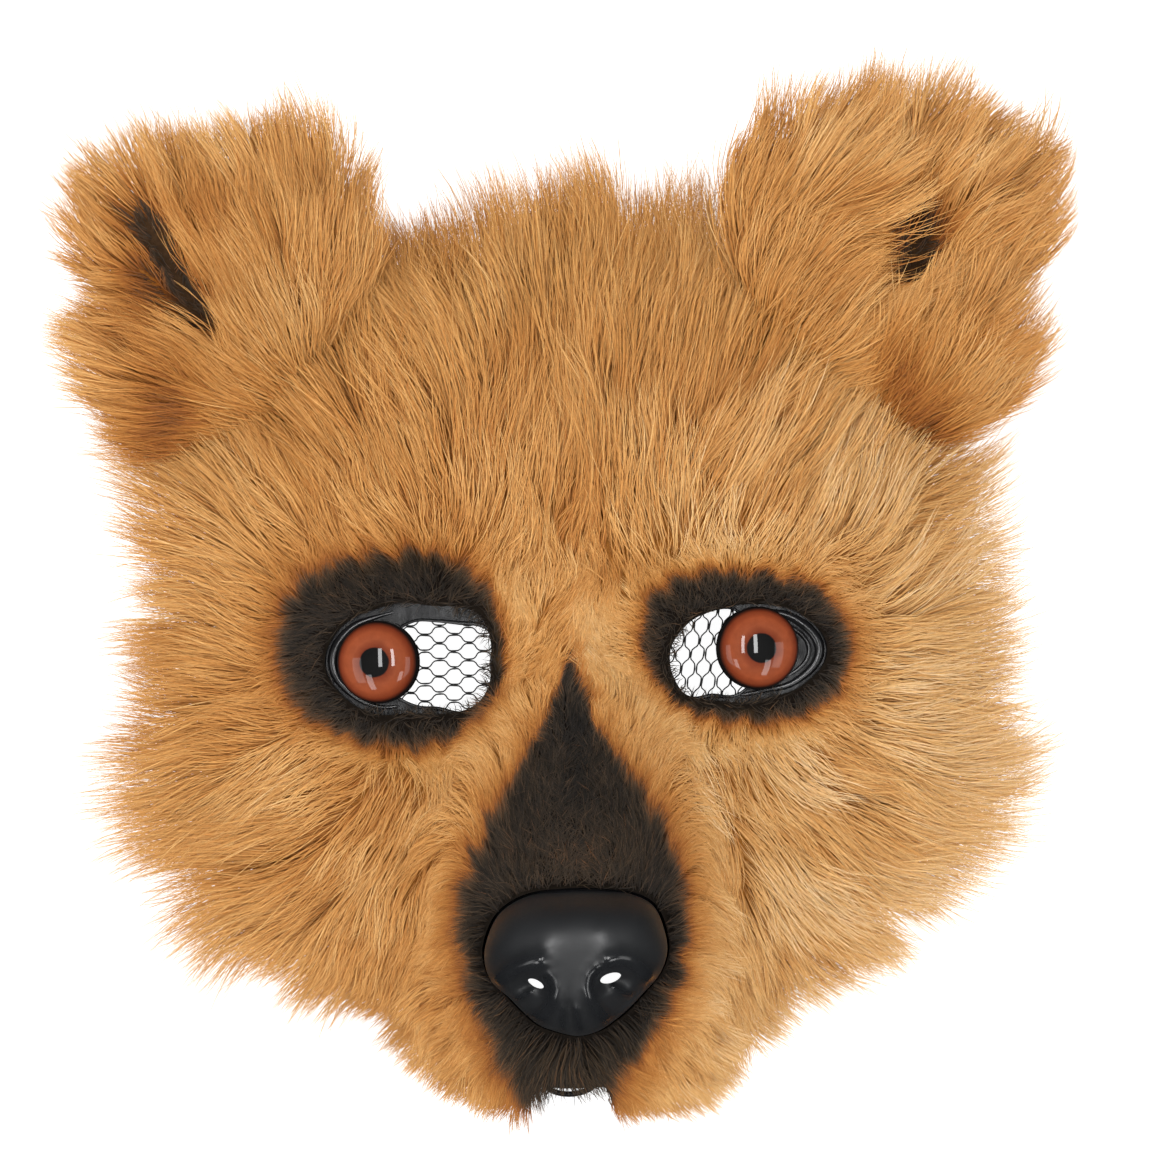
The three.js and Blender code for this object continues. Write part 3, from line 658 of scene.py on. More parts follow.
def wobble(x, y, scale, seed):
    """A soft random field, about -1 to 1."""
    r = np.random.default_rng(seed)
    total = 0
    for _ in range(5):
        a, p, k = r.uniform(0, 2 * np.pi), r.uniform(0, 2 * np.pi), r.uniform(0.6, 1.6)
        total = total + np.sin((x * math.cos(a) + y * math.sin(a)) * k * 2 * np.pi / scale + p)
    return total / 2.6


def darkness(x, y):
    """1 in the dark airbrushed patches, 0 in the tan fur."""
    edge = 1.2 * wobble(x, y, 9, 3) + 0.7 * wobble(x, y, 3.5, 4)
    left = smooth((inside(LEFT_PATCH, x, y) + edge + 2.5) / 7)
    right = smooth((inside(RIGHT_PATCH, x, y) + edge + 2.5) / 7)
    lo, hi = np.interp(y, WEDGE[:, 0], WEDGE[:, 1]), np.interp(y, WEDGE[:, 0], WEDGE[:, 2])
    side = np.minimum(x - lo, hi - x)
    wedge = smooth((side + edge * np.clip((hi - lo) / 16, 0, 1) + 0.8 + 2.5 * np.clip((hi - lo) / 22, 0, 1)) / np.clip((hi - lo) / 5, 1.2, 5.5)) * (y < 0) * smooth((y + 117) / 8)
    ring = smooth((np.maximum(inside(LEFT_OPENING, x, y), inside(RIGHT_OPENING, x, y)) + 3.8) / 1.8)
    return np.maximum(np.maximum(np.maximum(left, right), wedge), ring)


def fields(x, y):
    """Direction, length, lift and darkness of the face's fur at places."""
    fan = unit(np.stack([x - FAN[0], y - FAN[1]], -1))
    w = np.full(x.shape, BASE["weight"])
    direction = fan * w[:, None]
    length, lift = BASE["length"] * w, BASE["lift"] * w
    for _, cx, cy, rx, ry, spread, deg, ln, lf, weight in LAY:
        k = weight * np.exp(-((x - cx) / rx) ** 2 - ((y - cy) / ry) ** 2)
        if spread:
            d = unit(np.stack([x - cx, y - cy], -1))
        else:
            d = np.array([math.cos(math.radians(deg)), math.sin(math.radians(deg))])
        direction = direction + d * k[:, None]
        length, lift, w = length + ln * k, lift + lf * k, w + k
    return unit(direction), length / w, lift / w


# ------------------------------------------------------------------ pelt
def build_pelt():
    angles = np.arange(0, 360, 3.0)
    outer = polar_sheet(lambda d, s: off_shell(d, s, GAP + 1.5, 1.6), angles, 44)
    inner = polar_sheet(lambda d, s: off_shell(d, s, GAP + 0.1, 1.6), angles, 44)
    inner[1][-1, :, 2] = 1.6
    outer[1][-1, :, 2] = 1.9
    ob = make_object("fur_pelt", py_mesh("fur_pelt", *grid_solid(outer, inner)), PELT, "face_fur", "fur_cover")
    holes = [prism(outline(o, 0.3, 72), 20, 90) for o in (LEFT_OPENING, RIGHT_OPENING)]
    holes.append(prism(outline(NOSE, 0.7, 72), 55, 160))
    q = LIP_LOOP
    holes.append(prism(oval(q["x"], q["y"] - 0.6, q["rx"] + 0.8, q["ry"] + 1.2), -1, q["height"] + 1.5))
    cut(ob, holes)
    smooth_all(ob.data, 60)
    me = ob.data
    co = np.empty(len(me.vertices) * 3, np.float32)
    me.vertices.foreach_get("co", co)
    co = co.reshape(-1, 3) * 1000 - SHIFT
    tone = lerp(0.62, 0.08, darkness(co[:, 0], co[:, 1]))
    me.attributes.new("tone", "FLOAT", "POINT").data.foreach_set("value", tone.astype(np.float32))
    return ob


# heights of the pelt, so that no strand dips under it
H_STEP, H_LOW, H_SIZE = 1.0, -140.0, 281


def height_map():
    deg, s = np.meshgrid(np.arange(0, 360, 0.5), np.linspace(0, 1, 260))
    p = off_shell(deg, s, GAP + 1.7, 1.6).reshape(-1, 3)
    grid = np.full((H_SIZE, H_SIZE), 0.5)
    i = np.clip(np.round((p[:, 0] - H_LOW) / H_STEP).astype(int), 0, H_SIZE - 1)
    j = np.clip(np.round((p[:, 1] - H_LOW) / H_STEP).astype(int), 0, H_SIZE - 1)
    np.maximum.at(grid, (i, j), p[:, 2])
    return grid


HEIGHTS = height_map()


def ground(x, y):
    u = np.clip((x - H_LOW) / H_STEP, 0, H_SIZE - 1.001)
    v = np.clip((y - H_LOW) / H_STEP, 0, H_SIZE - 1.001)
    i, j = u.astype(int), v.astype(int)
    a, b = u - i, v - j
    return (HEIGHTS[i, j] * (1 - a) + HEIGHTS[i + 1, j] * a) * (1 - b) + (HEIGHTS[i, j + 1] * (1 - a) + HEIGHTS[i + 1, j + 1] * a) * b


# ------------------------------------------------------------------ strands
def clumps(x, y, cell, seed):
    """For each place, its nearest clump: centre and three random numbers."""
    gx, gy = np.floor(x / cell).astype(int), np.floor(y / cell).astype(int)
    best = np.full(x.shape, 1e9)
    cx, cy = x.copy(), y.copy()
    rnd = np.zeros(x.shape + (3,))
    for dx in (-1, 0, 1):
        for dy in (-1, 0, 1):
            ix, iy = gx + dx, gy + dy
            key = (ix * 73856093) ^ (iy * 19349663) ^ (seed * 83492791)
            h = lambda k: (np.sin((key % 100003) * 12.9898 + k * 78.233) * 43758.5453) % 1.0
            px, py = (ix + h(1)) * cell, (iy + h(2)) * cell
            d = (px - x) ** 2 + (py - y) ** 2
            near = d < best
            best = np.where(near, d, best)
            cx, cy = np.where(near, px, cx), np.where(near, py, cy)
            for c in range(3):
                rnd[..., c] = np.where(near, h(3 + c), rnd[..., c])
    return cx, cy, rnd


def ribbons(name, points, side, face, soft, width, tone, material, slot):
    """One mesh of tapered, flat strands.

    points n x (m+1) x 3; side and face are unit vectors across and off each
    strand, soft the way that the fur as a whole faces there; width and tone
    n x (m+1)."""
    n, rows = points.shape[:2]
    m = rows - 1
    per = 2 * m + 1
    v = np.empty((n, per, 3))
    v[:, 0:2 * m:2] = points[:, :m] - side[:, :m] * width[:, :m, None] / 2
    v[:, 1:2 * m:2] = points[:, :m] + side[:, :m] * width[:, :m, None] / 2
    v[:, 2 * m] = points[:, m]
    normal = np.empty((n, per, 3))
    normal[:, 0:2 * m:2] = soft[:, None] * 0.6 + face[:, :m] * 0.4 - side[:, :m] * 0.4
    normal[:, 1:2 * m:2] = soft[:, None] * 0.6 + face[:, :m] * 0.4 + side[:, :m] * 0.4
    normal[:, 2 * m] = soft * 0.6 + face[:, m] * 0.4
    one = []
    for k in range(m - 1):
        one += [2 * k, 2 * k + 1, 2 * k + 3, 2 * k + 2]
    one += [2 * (m - 1), 2 * (m - 1) + 1, 2 * m]
    corners = (np.arange(n)[:, None] * per + np.array(one)[None]).ravel()
    first = np.array([4 * k for k in range(m)])
    starts = (np.arange(n)[:, None] * len(one) + first[None]).ravel()
    me = raw_mesh(name, v, corners, starts)
    me.polygons.foreach_set("use_smooth", np.ones(len(me.polygons), bool))
    along = np.empty((n, per), np.float32)
    steps = np.linspace(0, 1, m + 1)
    along[:, 0:2 * m:2] = along[:, 1:2 * m:2] = steps[:m]
    along[:, 2 * m] = 1
    shade = np.empty((n, per), np.float32)
    shade[:, 0:2 * m:2] = shade[:, 1:2 * m:2] = tone[:, :m]
    shade[:, 2 * m] = tone[:, m]
    me.attributes.new("along", "FLOAT", "POINT").data.foreach_set("value", along.ravel())
    me.attributes.new("tone", "FLOAT", "POINT").data.foreach_set("value", shade.ravel())
    flip = np.empty((n, per), np.float32)
    flip[:, 0:2 * m:2], flip[:, 1:2 * m:2], flip[:, 2 * m] = -1, 1, 0
    uv = np.stack([0.02 + 0.96 * along + 0.003 * flip, 0.02 + 0.96 * np.clip(shade, 0, 1) + 0.004 * flip], -1).reshape(-1, 2)
    layer = me.uv_layers.new(name="OFBake")
    layer.uv.foreach_set("vector", uv[corners].astype(np.float32).ravel())
    me.normals_split_custom_set_from_vertices(unit(normal).reshape(-1, 3).astype(np.float32))
    return make_object(name, me, material, slot)


def unrolled(root, normal):
    """Flat coordinates for the clumps, with steep sides rolled out."""
    out = unit(np.concatenate([normal[:, :2], np.zeros((len(root), 1))], -1))[:, :2]
    steep = smooth((0.75 - normal[:, 2]) / 0.6)
    down = np.maximum(0, 45 - root[:, 2]) * steep
    return root[:, 0] + out[:, 0] * down, root[:, 1] + out[:, 1] * down, out, steep


def grow(rng, root, normal, flow, length, lift, segments, width, seed, *, curl=1.0, rise=5.0, clump=0.44, big_clump=0.24,
         drop=0.12, on_face=True, twist=0.5, cells=(4.2, 12.0), ragged=0.32):
    """Strands from roots: they rise at lift degrees, bend over towards flow
    and come together in locks. Returns points, side, face and soft vectors, widths."""
    n = len(root)
    x, y, out, steep = unrolled(root, normal)
    cx, cy, ca = clumps(x, y, cells[0], seed)
    bx, by, cb = clumps(x, y, cells[1], seed + 7)
    # each lock points and reaches a little differently
    turn = np.radians((ca[:, 0] - 0.5) * 13 * curl + (cb[:, 0] - 0.5) * 25 * curl + rng.normal(0, 4 * curl, n))
    turn = turn + np.radians(9 * wobble(x, y, 46, seed + 60))
    bend = np.radians((ca[:, 1] - 0.5) * 24 * curl + (cb[:, 1] - 0.5) * 44 * curl + rng.normal(0, 7 * curl, n))
    c, s = np.cos(turn), np.sin(turn)
    level = np.stack([flow[:, 0] * c - flow[:, 1] * s, flow[:, 0] * s + flow[:, 1] * c, np.zeros(n)], -1)
    flow3 = level + np.array([0, 0, -0.12])
    tangent = unit(flow3 - normal * np.sum(flow3 * normal, -1, keepdims=True))
    reach = length * (0.86 + 0.2 * ca[:, 1] + ragged * (cb[:, 1] - 0.5)) * rng.uniform(0.75, 1.08, n)
    wisp = rng.uniform(0, 1, n) < 0.05
    reach = np.where(wisp, reach * 1.18, reach)
    up0 = np.radians(np.clip(lift + rng.normal(0, 5, n) + (cb[:, 2] - 0.5) * 13 + (ca[:, 2] - 0.5) * 7, 6, 82))
    tip_up = np.radians(rise * (0.4 + 1.2 * ca[:, 2]) - 6 * cb[:, 1])[:, None]
    tip = unit(lerp(tangent, level, (0.25 + 0.75 * smooth((0.9 - normal[:, 2]) / 0.6))[:, None]))
    tip = tip * np.cos(tip_up) + np.array([0, 0, 1.0]) * np.sin(tip_up)
    base = tangent * np.cos(up0)[:, None] + normal * np.sin(up0)[:, None]
    across = np.cross(np.array([0, 0, 1.0]), level)
    phase, wave = ca[:, 2] * 2 * np.pi + rng.normal(0, 0.35, n), (0.3 + 0.7 * cb[:, 2]) * curl
    points = np.empty((n, segments + 1, 3))
    points[:, 0] = root - normal * 0.25
    p = points[:, 0].copy()
    for k in range(segments):
        t = (k + 0.5) / segments
        d = lerp(base, tip, min(1, t * 1.15) ** 0.75)
        d[:, 2] -= drop * t * t
        d = d + across * (bend * (t - 0.2) + 0.16 * wave * np.sin(phase + t * 5.5))[:, None]
        p = p + unit(d) * (reach / segments)[:, None]
        points[:, k + 1] = p
    # pull towards the locks' middles
    t = np.linspace(0, 1, segments + 1)[None, :]
    loose = np.where(rng.uniform(0, 1, n) < 0.16, 0.25, 1.0)[:, None]
    pull = clump * t ** 1.3 * (0.5 + 0.8 * ca[:, 0:1]) * loose
    big = big_clump * t ** 1.6 * loose
    for share, mx, my in ((pull, cx - x, cy - y), (big, bx - x, by - y)):
        radial = (mx * out[:, 0] + my * out[:, 1]) * steep
        points[:, :, 0] += (mx - radial * out[:, 0])[:, None] * share
        points[:, :, 1] += (my - radial * out[:, 1])[:, None] * share
        points[:, :, 2] -= radial[:, None] * share
    if on_face:
        low = ground(points[:, :, 0], points[:, :, 1]) + 0.25 + 1.2 * t
        low[:, 0] = -1e9
        points[:, :, 2] = np.maximum(points[:, :, 2], low)
    points[:, :, 2] = np.maximum(points[:, :, 2], 0.5)
    along = unit(np.gradient(points, axis=1))
    # the ribbon faces off the surface, turned a little at random
    facing = normal[:, None] * 0.5 + np.array([0, 0, 0.9])
    side = unit(np.cross(along, facing))
    face = np.cross(side, along)
    roll = rng.normal(0, twist, n)[:, None, None]
    side, face = side * np.cos(roll) + face * np.sin(roll), face * np.cos(roll) - side * np.sin(roll)
    taper = (1 - 0.75 * t ** 2) * (0.8 + 0.4 * np.minimum(t * 3, 1))
    widths = width * rng.uniform(0.7, 1.25, n)[:, None] * taper
    widths = np.where(wisp[:, None], widths * 0.75, widths)
    soft = unit(normal * 0.6 + np.array([0, 0, 0.7]) - level * 0.12)
    return points, side, face, soft, widths, ca, cb


def face_roots(rng, count, density):
    """Random places on the pelt, as many per area as density says."""
    deg = np.arange(0, 360, 1.5)
    s = np.linspace(0.0, 0.995, 110)
    dd, ss = np.meshgrid(deg + 0.75, (s[1:] + s[:-1]) / 2)
    h, g = (s[1] - s[0]) / 2, 0.75
    du = off_shell(dd, ss + h, 1.5) - off_shell(dd, ss - h, 1.5)
    dv = off_shell(dd + g, ss, 1.5) - off_shell(dd - g, ss, 1.5)
    area = np.linalg.norm(np.cross(du, dv), axis=-1)
    mid = off_shell(dd, ss, 1.5)
    w = (area * density(mid[..., 0], mid[..., 1])).ravel()
    pick = rng.choice(len(w), count, p=w / w.sum())
    d = dd.ravel()[pick] + rng.uniform(-g, g, count)
    q = ss.ravel()[pick] + rng.uniform(-h, h, count)
    return off_shell(d, q, GAP + 1.5, 1.6), shell_normal(d, q)


def open_skin(x, y):
    """True where the pelt is there, not cut away for an eye, the nose or the loop."""
    gone = (inside(LEFT_OPENING, x, y, 0.2) > 0) | (inside(RIGHT_OPENING, x, y, 0.2) > 0) | (inside(NOSE, x, y, 0.6) > 0)
    q = LIP_LOOP
    gone |= np.hypot((x - q["x"]) / (q["rx"] + 0.5), (y - q["y"] + 0.8) / (q["ry"] + 1.0)) < 1
    return ~gone


def face_tone(rng, points, ca, cb, dark_pull=1.0):
    """Tone of each strand point: the tan fur's own variation, a painted light over the right of the face, then the
    airbrush.
    """
    x, y = points[:, :, 0], points[:, :, 1]
    n, rows = x.shape
    t = np.linspace(0, 1, rows)[None, :]
    rx, ry = x[:, :1], y[:, :1]
    tan = 0.70 + 0.07 * (ca[:, 1:2] - 0.5) + 0.12 * (cb[:, 1:2] - 0.5) + rng.normal(0, 0.045, (n, 1)) + 0.02 * wobble(rx, ry, 55, 11)
    # painted light: the fur right of the middle is made lighter, standing for the stronger light from the right
    tan = tan + 0.115 * smooth((rx - 6) / 28) * smooth((70 - ry) / 60) + 0.015 * smooth((-20 - rx) / 30) * smooth((10 - ry) / 30) - 0.02 * smooth((ry - 20) / 60)
    tan = tan + 0.09 * t ** 1.5 - 0.04 * (1 - t) ** 2
    tan = tan - 0.1 * np.exp(-((rx + 8) / 24) ** 2 - ((ry - 92) / 9) ** 2)
    dark = 0.75 * darkness(x, y) + 0.25 * darkness(rx, ry)
    black = 0.075 + 0.03 * (ca[:, 1:2] - 0.5) + np.abs(rng.normal(0, 0.06, (n, 1)))
    black = black + 0.13 * (rng.uniform(0, 1, (n, 1)) < 0.16) * t
    fuzz = np.exp(-((rx - 1) / 19) ** 2 - ((ry + 50) / 9) ** 2) + 0.8 * np.exp(-((rx + 3) / 20) ** 2 - ((ry + 99) / 9) ** 2)
    black = black + 0.1 * fuzz * rng.uniform(0, 1, (n, 1))
    crease = np.exp(-((rx - 1) / 1.6) ** 2) * smooth((ry + 44) / 12) * smooth((-12 - ry) / 8)
    black = black * (1 - 0.8 * crease)
    return np.clip(lerp(tan, black, dark * dark_pull), 0, 1)


def build_face_fur():
    made = []
    rng = np.random.default_rng(SEED)

    def short_place(x, y):
        f = fields(x.ravel(), y.ravel())[1].reshape(x.shape)
        return smooth((12.5 - f) / 3.5) * open_skin(x, y)

    def long_place(x, y):
        f = fields(x.ravel(), y.ravel())[1].reshape(x.shape)
        return (1 - smooth((12.5 - f) / 3.5)) * open_skin(x, y)

    # long and middling fur
    root, normal = face_roots(rng, 52500, long_place)
    ok = open_skin(root[:, 0], root[:, 1])
    root, normal = root[ok], normal[ok]
    flow, length, lift = fields(root[:, 0], root[:, 1])
    rim = smooth((30 - root[:, 2]) / 26)
    lift = lift + 34 * rim
    p, side, face, soft, width, ca, cb = grow(rng, root, normal, flow, length, lift, 5, 0.215, 1)
    tone = face_tone(rng, p, ca, cb)
    x, y = root[:, 0], root[:, 1]
    top = (y > 22) & (np.abs(x) < 60 + (y - 22))
    parts = {
        "fur_forehead": top,
        "fur_cheek_left": ~top & (x < -4),
        "fur_cheek_right": ~top & (x >= -4),
    }
    for name, pick in parts.items():
        made.append(ribbons(name, p[pick], side[pick], face[pick], soft[pick], width[pick], tone[pick], FUR, "face_fur"))

    # short fur round the eyes, down the snout and on the chin
    root, normal = face_roots(rng, 44000, short_place)
    ok = open_skin(root[:, 0], root[:, 1])
    root, normal = root[ok], normal[ok]
    flow, length, lift = fields(root[:, 0], root[:, 1])
    # by the sockets it leans in over the cut edge, but on their outer sides
    for opening, sign in ((LEFT_OPENING, -1), (RIGHT_OPENING, 1)):
        near = smooth((2.6 + inside(opening, root[:, 0], root[:, 1])) / 2.2)
        near = near * (1 - smooth((sign * root[:, 0] - 49) / 5)) * (1 - 0.6 * smooth((root[:, 1] - 4) / 6) * smooth((sign * root[:, 0] - 24) / 6))
        inward = unit(np.array([opening[0], opening[1]]) - root[:, :2])
        flow = unit(lerp(flow, inward, near[:, None]) + 1e-6)
        length = lerp(length, 3.2, near)
    mess = rng.normal(0, 1.0, len(root)) * smooth((8 - length) / 4)
    c, s = np.cos(mess), np.sin(mess)
    flow = np.stack([flow[:, 0] * c - flow[:, 1] * s, flow[:, 0] * s + flow[:, 1] * c], -1)
    p, side, face, soft, width, ca, cb = grow(rng, root, normal, flow, length, lift, 2, 0.2, 2, curl=1.6, clump=0.2, big_clump=0.0, rise=12)
    tone = face_tone(rng, p, ca, cb)
    x, y = root[:, 0], root[:, 1]
    eyes = (y > -26) & (np.abs(x) > 13)
    made.append(ribbons("fur_eye_patches", p[eyes], side[eyes], face[eyes], soft[eyes], width[eyes], tone[eyes], FUR, "face_fur"))
    made.append(ribbons("fur_muzzle", p[~eyes], side[~eyes], face[~eyes], soft[~eyes], width[~eyes], tone[~eyes], FUR, "face_fur"))
    return made


# ------------------------------------------------------------------ ears
EARS = {  # core: radius of the sewn ear under the fur, every 20 degrees
    "left": dict(
        core=(-86, 100, [38, 33, 32, 21, 18, 18, 21, 25, 26, 24, 20, 24, 37, 45, 45, 41, 38, 38]),
        slit=((-99.5, 109), (-87.5, 86)), slit_w=4.2, seed=31,
        lay=[(-117, 111, 125), (-99, 134, 116), (-72, 136, 93), (-52, 139, 80), (-42, 118, 58), (-39, 104, 52),
             (-66, 115, 100), (-84, 103, 118), (-60, 91, 108), (-95, 79, 147), (-115, 77, 165), (-109, 59, 152),
             (-119, 53, 170), (-78, 75, 130), (-97, 66, 148), (-50, 84, 75), (-104, 97, 140), (-65, 65, 118)],
        shade=[(-103, 92, 6, 12, 0.13), (-96, 66, 8, 13, 0.15), (-102, 54, 9, 9, 0.13), (-88, 114, 9, 7, 0.08), (-106, 72, 15, 20, 0.05)]),
    "right": dict(
        core=(88, 97, [31, 33, 28, 27, 27, 26, 32, 38, 46, 43, 42, 42, 43, 46, 48, 38, 25, 25]),
        slit=((90, 103), (88.5, 92)), slit_w=4.6, seed=47,
        lay=[(42, 119, 103), (56, 134, 98), (56, 117, 68), (78, 137, 78), (77, 121, 52), (99, 129, 48), (116, 125, 35),
             (123, 107, 30), (109, 108, 36), (104, 90, 42), (119, 90, 38), (97, 76, 58), (115, 75, 35), (103, 62, 45),
             (117, 58, 12), (106, 49, 18), (84, 70, 80), (65, 106, 25), (69, 91, 14), (76, 83, 8), (48, 99, 60),
             (55, 85, 45), (93, 62, 65)],
        shade=[(84, 68, 6, 12, 0.16), (92, 54, 8, 10, 0.13), (80, 112, 11, 5, 0.1), (103, 101, 9, 7, 0.07)]),
}
EAR_CORE = dict(mid=29.0, front=11.0, back=7.0)


def segment_distance(x, y, a, b):
    dx, dy = b[0] - a[0], b[1] - a[1]
    k = np.clip(((x - a[0]) * dx + (y - a[1]) * dy) / (dx * dx + dy * dy), 0, 1)
    ox, oy = x - (a[0] + k * dx), y - (a[1] + k * dy)
    return np.hypot(ox, oy), np.stack([ox, oy], -1)


def ear_edge(ear, x, y):
    """How far each place of an ear is from the head, in millimetres."""
    cx, cy, _ = ear["core"]
    side = -1 if cx < 0 else 1
    return (side * (x - side * 48) * 0.72 + (y - 66) * 0.7)


def ear_core(ear, deg, s, front):
    cx, cy, radii = ear["core"]
    r = around(radii, 0, deg) * s
    x, y = cx + r * np.cos(np.radians(deg)), cy + r * np.sin(np.radians(deg))
    bulge = np.sqrt(np.maximum(0, 1 - s ** 2.4))
    d, _ = segment_distance(x, y, *ear["slit"])
    dent = 7.5 * np.exp(-((d / 6.5) ** 2)) * (1 - s ** 3)
    sink = np.maximum(15 * (1 - smooth((ear_edge(ear, x, y) + 12) / 30)), 13 * smooth((74 - y) / 24))
    z = EAR_CORE["mid"] - sink + (EAR_CORE["front"] * bulge - dent if front else -(EAR_CORE["back"] - 0.3 * sink) * bulge)
    return np.stack([x, y, z], -1)


def build_ear(side_name):
    ear = EARS[side_name]
    rng = np.random.default_rng(SEED + ear["seed"])
    angles = np.arange(0, 360, 7.5)
    front = polar_sheet(lambda d, s: ear_core(ear, d, s, True), angles, 14)
    back = polar_sheet(lambda d, s: ear_core(ear, d, s, False), angles, 14)
    back[1][-1, :, 2] -= 0.6
    pad = make_object(f"ear_pad_{side_name}", py_mesh(f"ear_pad_{side_name}", *grid_solid(front, back)), PELT, "ear_fur", f"ear_{side_name}")
    smooth_all(pad.data)
    co = np.empty(len(pad.data.vertices) * 3, np.float32)
    pad.data.vertices.foreach_get("co", co)
    co = co.reshape(-1, 3) * 1000 - SHIFT
    d, _ = segment_distance(co[:, 0], co[:, 1], *ear["slit"])
    dark = smooth((ear["slit_w"] + 2.5 - d) / 5) * (co[:, 2] > EAR_CORE["mid"])
    tone = lerp(0.6, 0.27, dark)
    pad.data.attributes.new("tone", "FLOAT", "POINT").data.foreach_set("value", tone.astype(np.float32))

    roots, normals = [], []
    for is_front, count in ((True, 12600), (False, 2800)):
        dd, ss = np.meshgrid(np.arange(0, 360, 4.0) + 2, (np.linspace(0, 1, 31)[1:] + np.linspace(0, 1, 31)[:-1]) / 2)
        h, g = 1 / 60, 2.0
        du = ear_core(ear, dd, ss + h, is_front) - ear_core(ear, dd, ss - h, is_front)
        dv = ear_core(ear, dd + g, ss, is_front) - ear_core(ear, dd - g, ss, is_front)
        area = np.linalg.norm(np.cross(du, dv), axis=-1).ravel()
        pick = rng.choice(len(area), count, p=area / area.sum())
        d = dd.ravel()[pick] + rng.uniform(-g, g, count)
        q = np.clip(ss.ravel()[pick] + rng.uniform(-h, h, count), 0.01, 0.995)
        a = ear_core(ear, d, np.minimum(q + 0.004, 1), is_front) - ear_core(ear, d, q - 0.004, is_front)
        b = ear_core(ear, d + 0.4, q, is_front) - ear_core(ear, d - 0.4, q, is_front)
        nrm = unit(np.cross(a, b)) * (1 if is_front else -1)
        roots.append(ear_core(ear, d, q, is_front))
        normals.append(nrm)
    root, normal = np.concatenate(roots), np.concatenate(normals)
    x, y = root[:, 0], root[:, 1]
    d, away = segment_distance(x, y, *ear["slit"])
    is_front = normal[:, 2] > 0
    flow = np.zeros((len(x), 2))
    for lx, ly, deg in ear["lay"]:
        k = np.exp(-((x - lx) ** 2 + (y - ly) ** 2) / 2 / 9.0 ** 2) + 1e-6
        flow += k[:, None] * np.array([math.cos(math.radians(deg)), math.sin(math.radians(deg))])
    flow = unit(flow)
    parting = np.exp(-((d / 8.5) ** 2)) * is_front
    flow = unit(flow + unit(away) * (1.1 * parting)[:, None])
    inner = (d < ear["slit_w"] + rng.normal(0.3, 1.5, len(x))) & is_front
    edge = smooth((ear_edge(ear, x, y) + 2) / 14)
    length = np.where(inner, 6.0, 25.0 * (1 - 0.35 * parting))
    lift = np.where(inner, 42.0, np.where(is_front, 30.0 - 10 * (1 - edge), 30.0))
    p, side, face, soft, width, ca, cb = grow(rng, root, normal, flow, length, lift, 5, 0.22, ear["seed"], drop=0.1, on_face=False,
                                              clump=0.44, big_clump=0.3, cells=(4.4, 13.0), ragged=0.34)
    # few strands lie over the dark slit
    over = segment_distance(p[:, 2:, 0], p[:, 2:, 1], *ear["slit"])[0].min(1) / ear["slit_w"]
    keep = ~is_front | inner | (rng.uniform(0, 1, len(x)) < 0.05 + 0.95 * smooth((over - 0.3) / 0.85) ** 1.5)
    keep &= (np.abs(p[:, :, 0]).max(1) < 131.5) & (p[:, :, 1].max(1) < 154)
    p, side, face, soft, width, ca, cb = (v[keep] for v in (p, side, face, soft, width, ca, cb))
    x, y, d, away, inner, is_front = (v[keep] for v in (x, y, d, away, inner, is_front))
    n, rows = p.shape[:2]
    t = np.linspace(0, 1, rows)[None, :]
    tan = 0.70 + 0.07 * (ca[:, 1:2] - 0.5) + 0.12 * (cb[:, 1:2] - 0.5) + rng.normal(0, 0.045, (n, 1)) + 0.1 * t ** 1.5 - 0.05 * (1 - t) ** 2
    for sx, sy, rx, ry, amount in ear["shade"]:
        tan = tan - 1.3 * amount * np.exp(-((p[:, :, 0] - sx) / rx) ** 2 - ((p[:, :, 1] - sy) / ry) ** 2)
    # pale strands beside the slit, on the side towards the face
    pale = np.exp(-(((d - 7.5) / 3) ** 2)) * (away[:, 0] * -np.sign(ear["slit"][0][0]) < 0) * is_front
    tan = tan + 0.12 * (pale * rng.uniform(0, 1, n))[:, None]
    brim = np.exp(-(((d - ear["slit_w"]) / 2.6) ** 2)) * is_front
    tan = tan - 0.27 * brim[:, None] * (1 - t ** 1.5) * rng.uniform(0.3, 1, (n, 1))
    fuzz = 0.16 + np.abs(rng.normal(0, 0.09, (n, 1))) + 0.26 * smooth(d / ear["slit_w"] - 0.3)[:, None] * rng.uniform(0, 1, (n, 1))
    tone = np.clip(np.where(inner[:, None], fuzz, tan), 0, 1)
    fur = ribbons(f"fur_ear_{side_name}", p, side, face, soft, width, tone, EAR_FUR, "ear_fur")
    return pad, fur


# ------------------------------------------------------------------ eyes and nets
def seat_frame(side, lift):
    """Axes of an eye seat, tilted towards its side; the lift comes back as given."""
    tilt = math.radians(SEAT["tilt"])
    z = np.array([side * math.sin(tilt), 0, math.cos(tilt)])
    x = np.array([math.cos(tilt), 0, -side * math.sin(tilt)])
    y = np.array([0.0, 1, 0])
    return x, y, z, lift


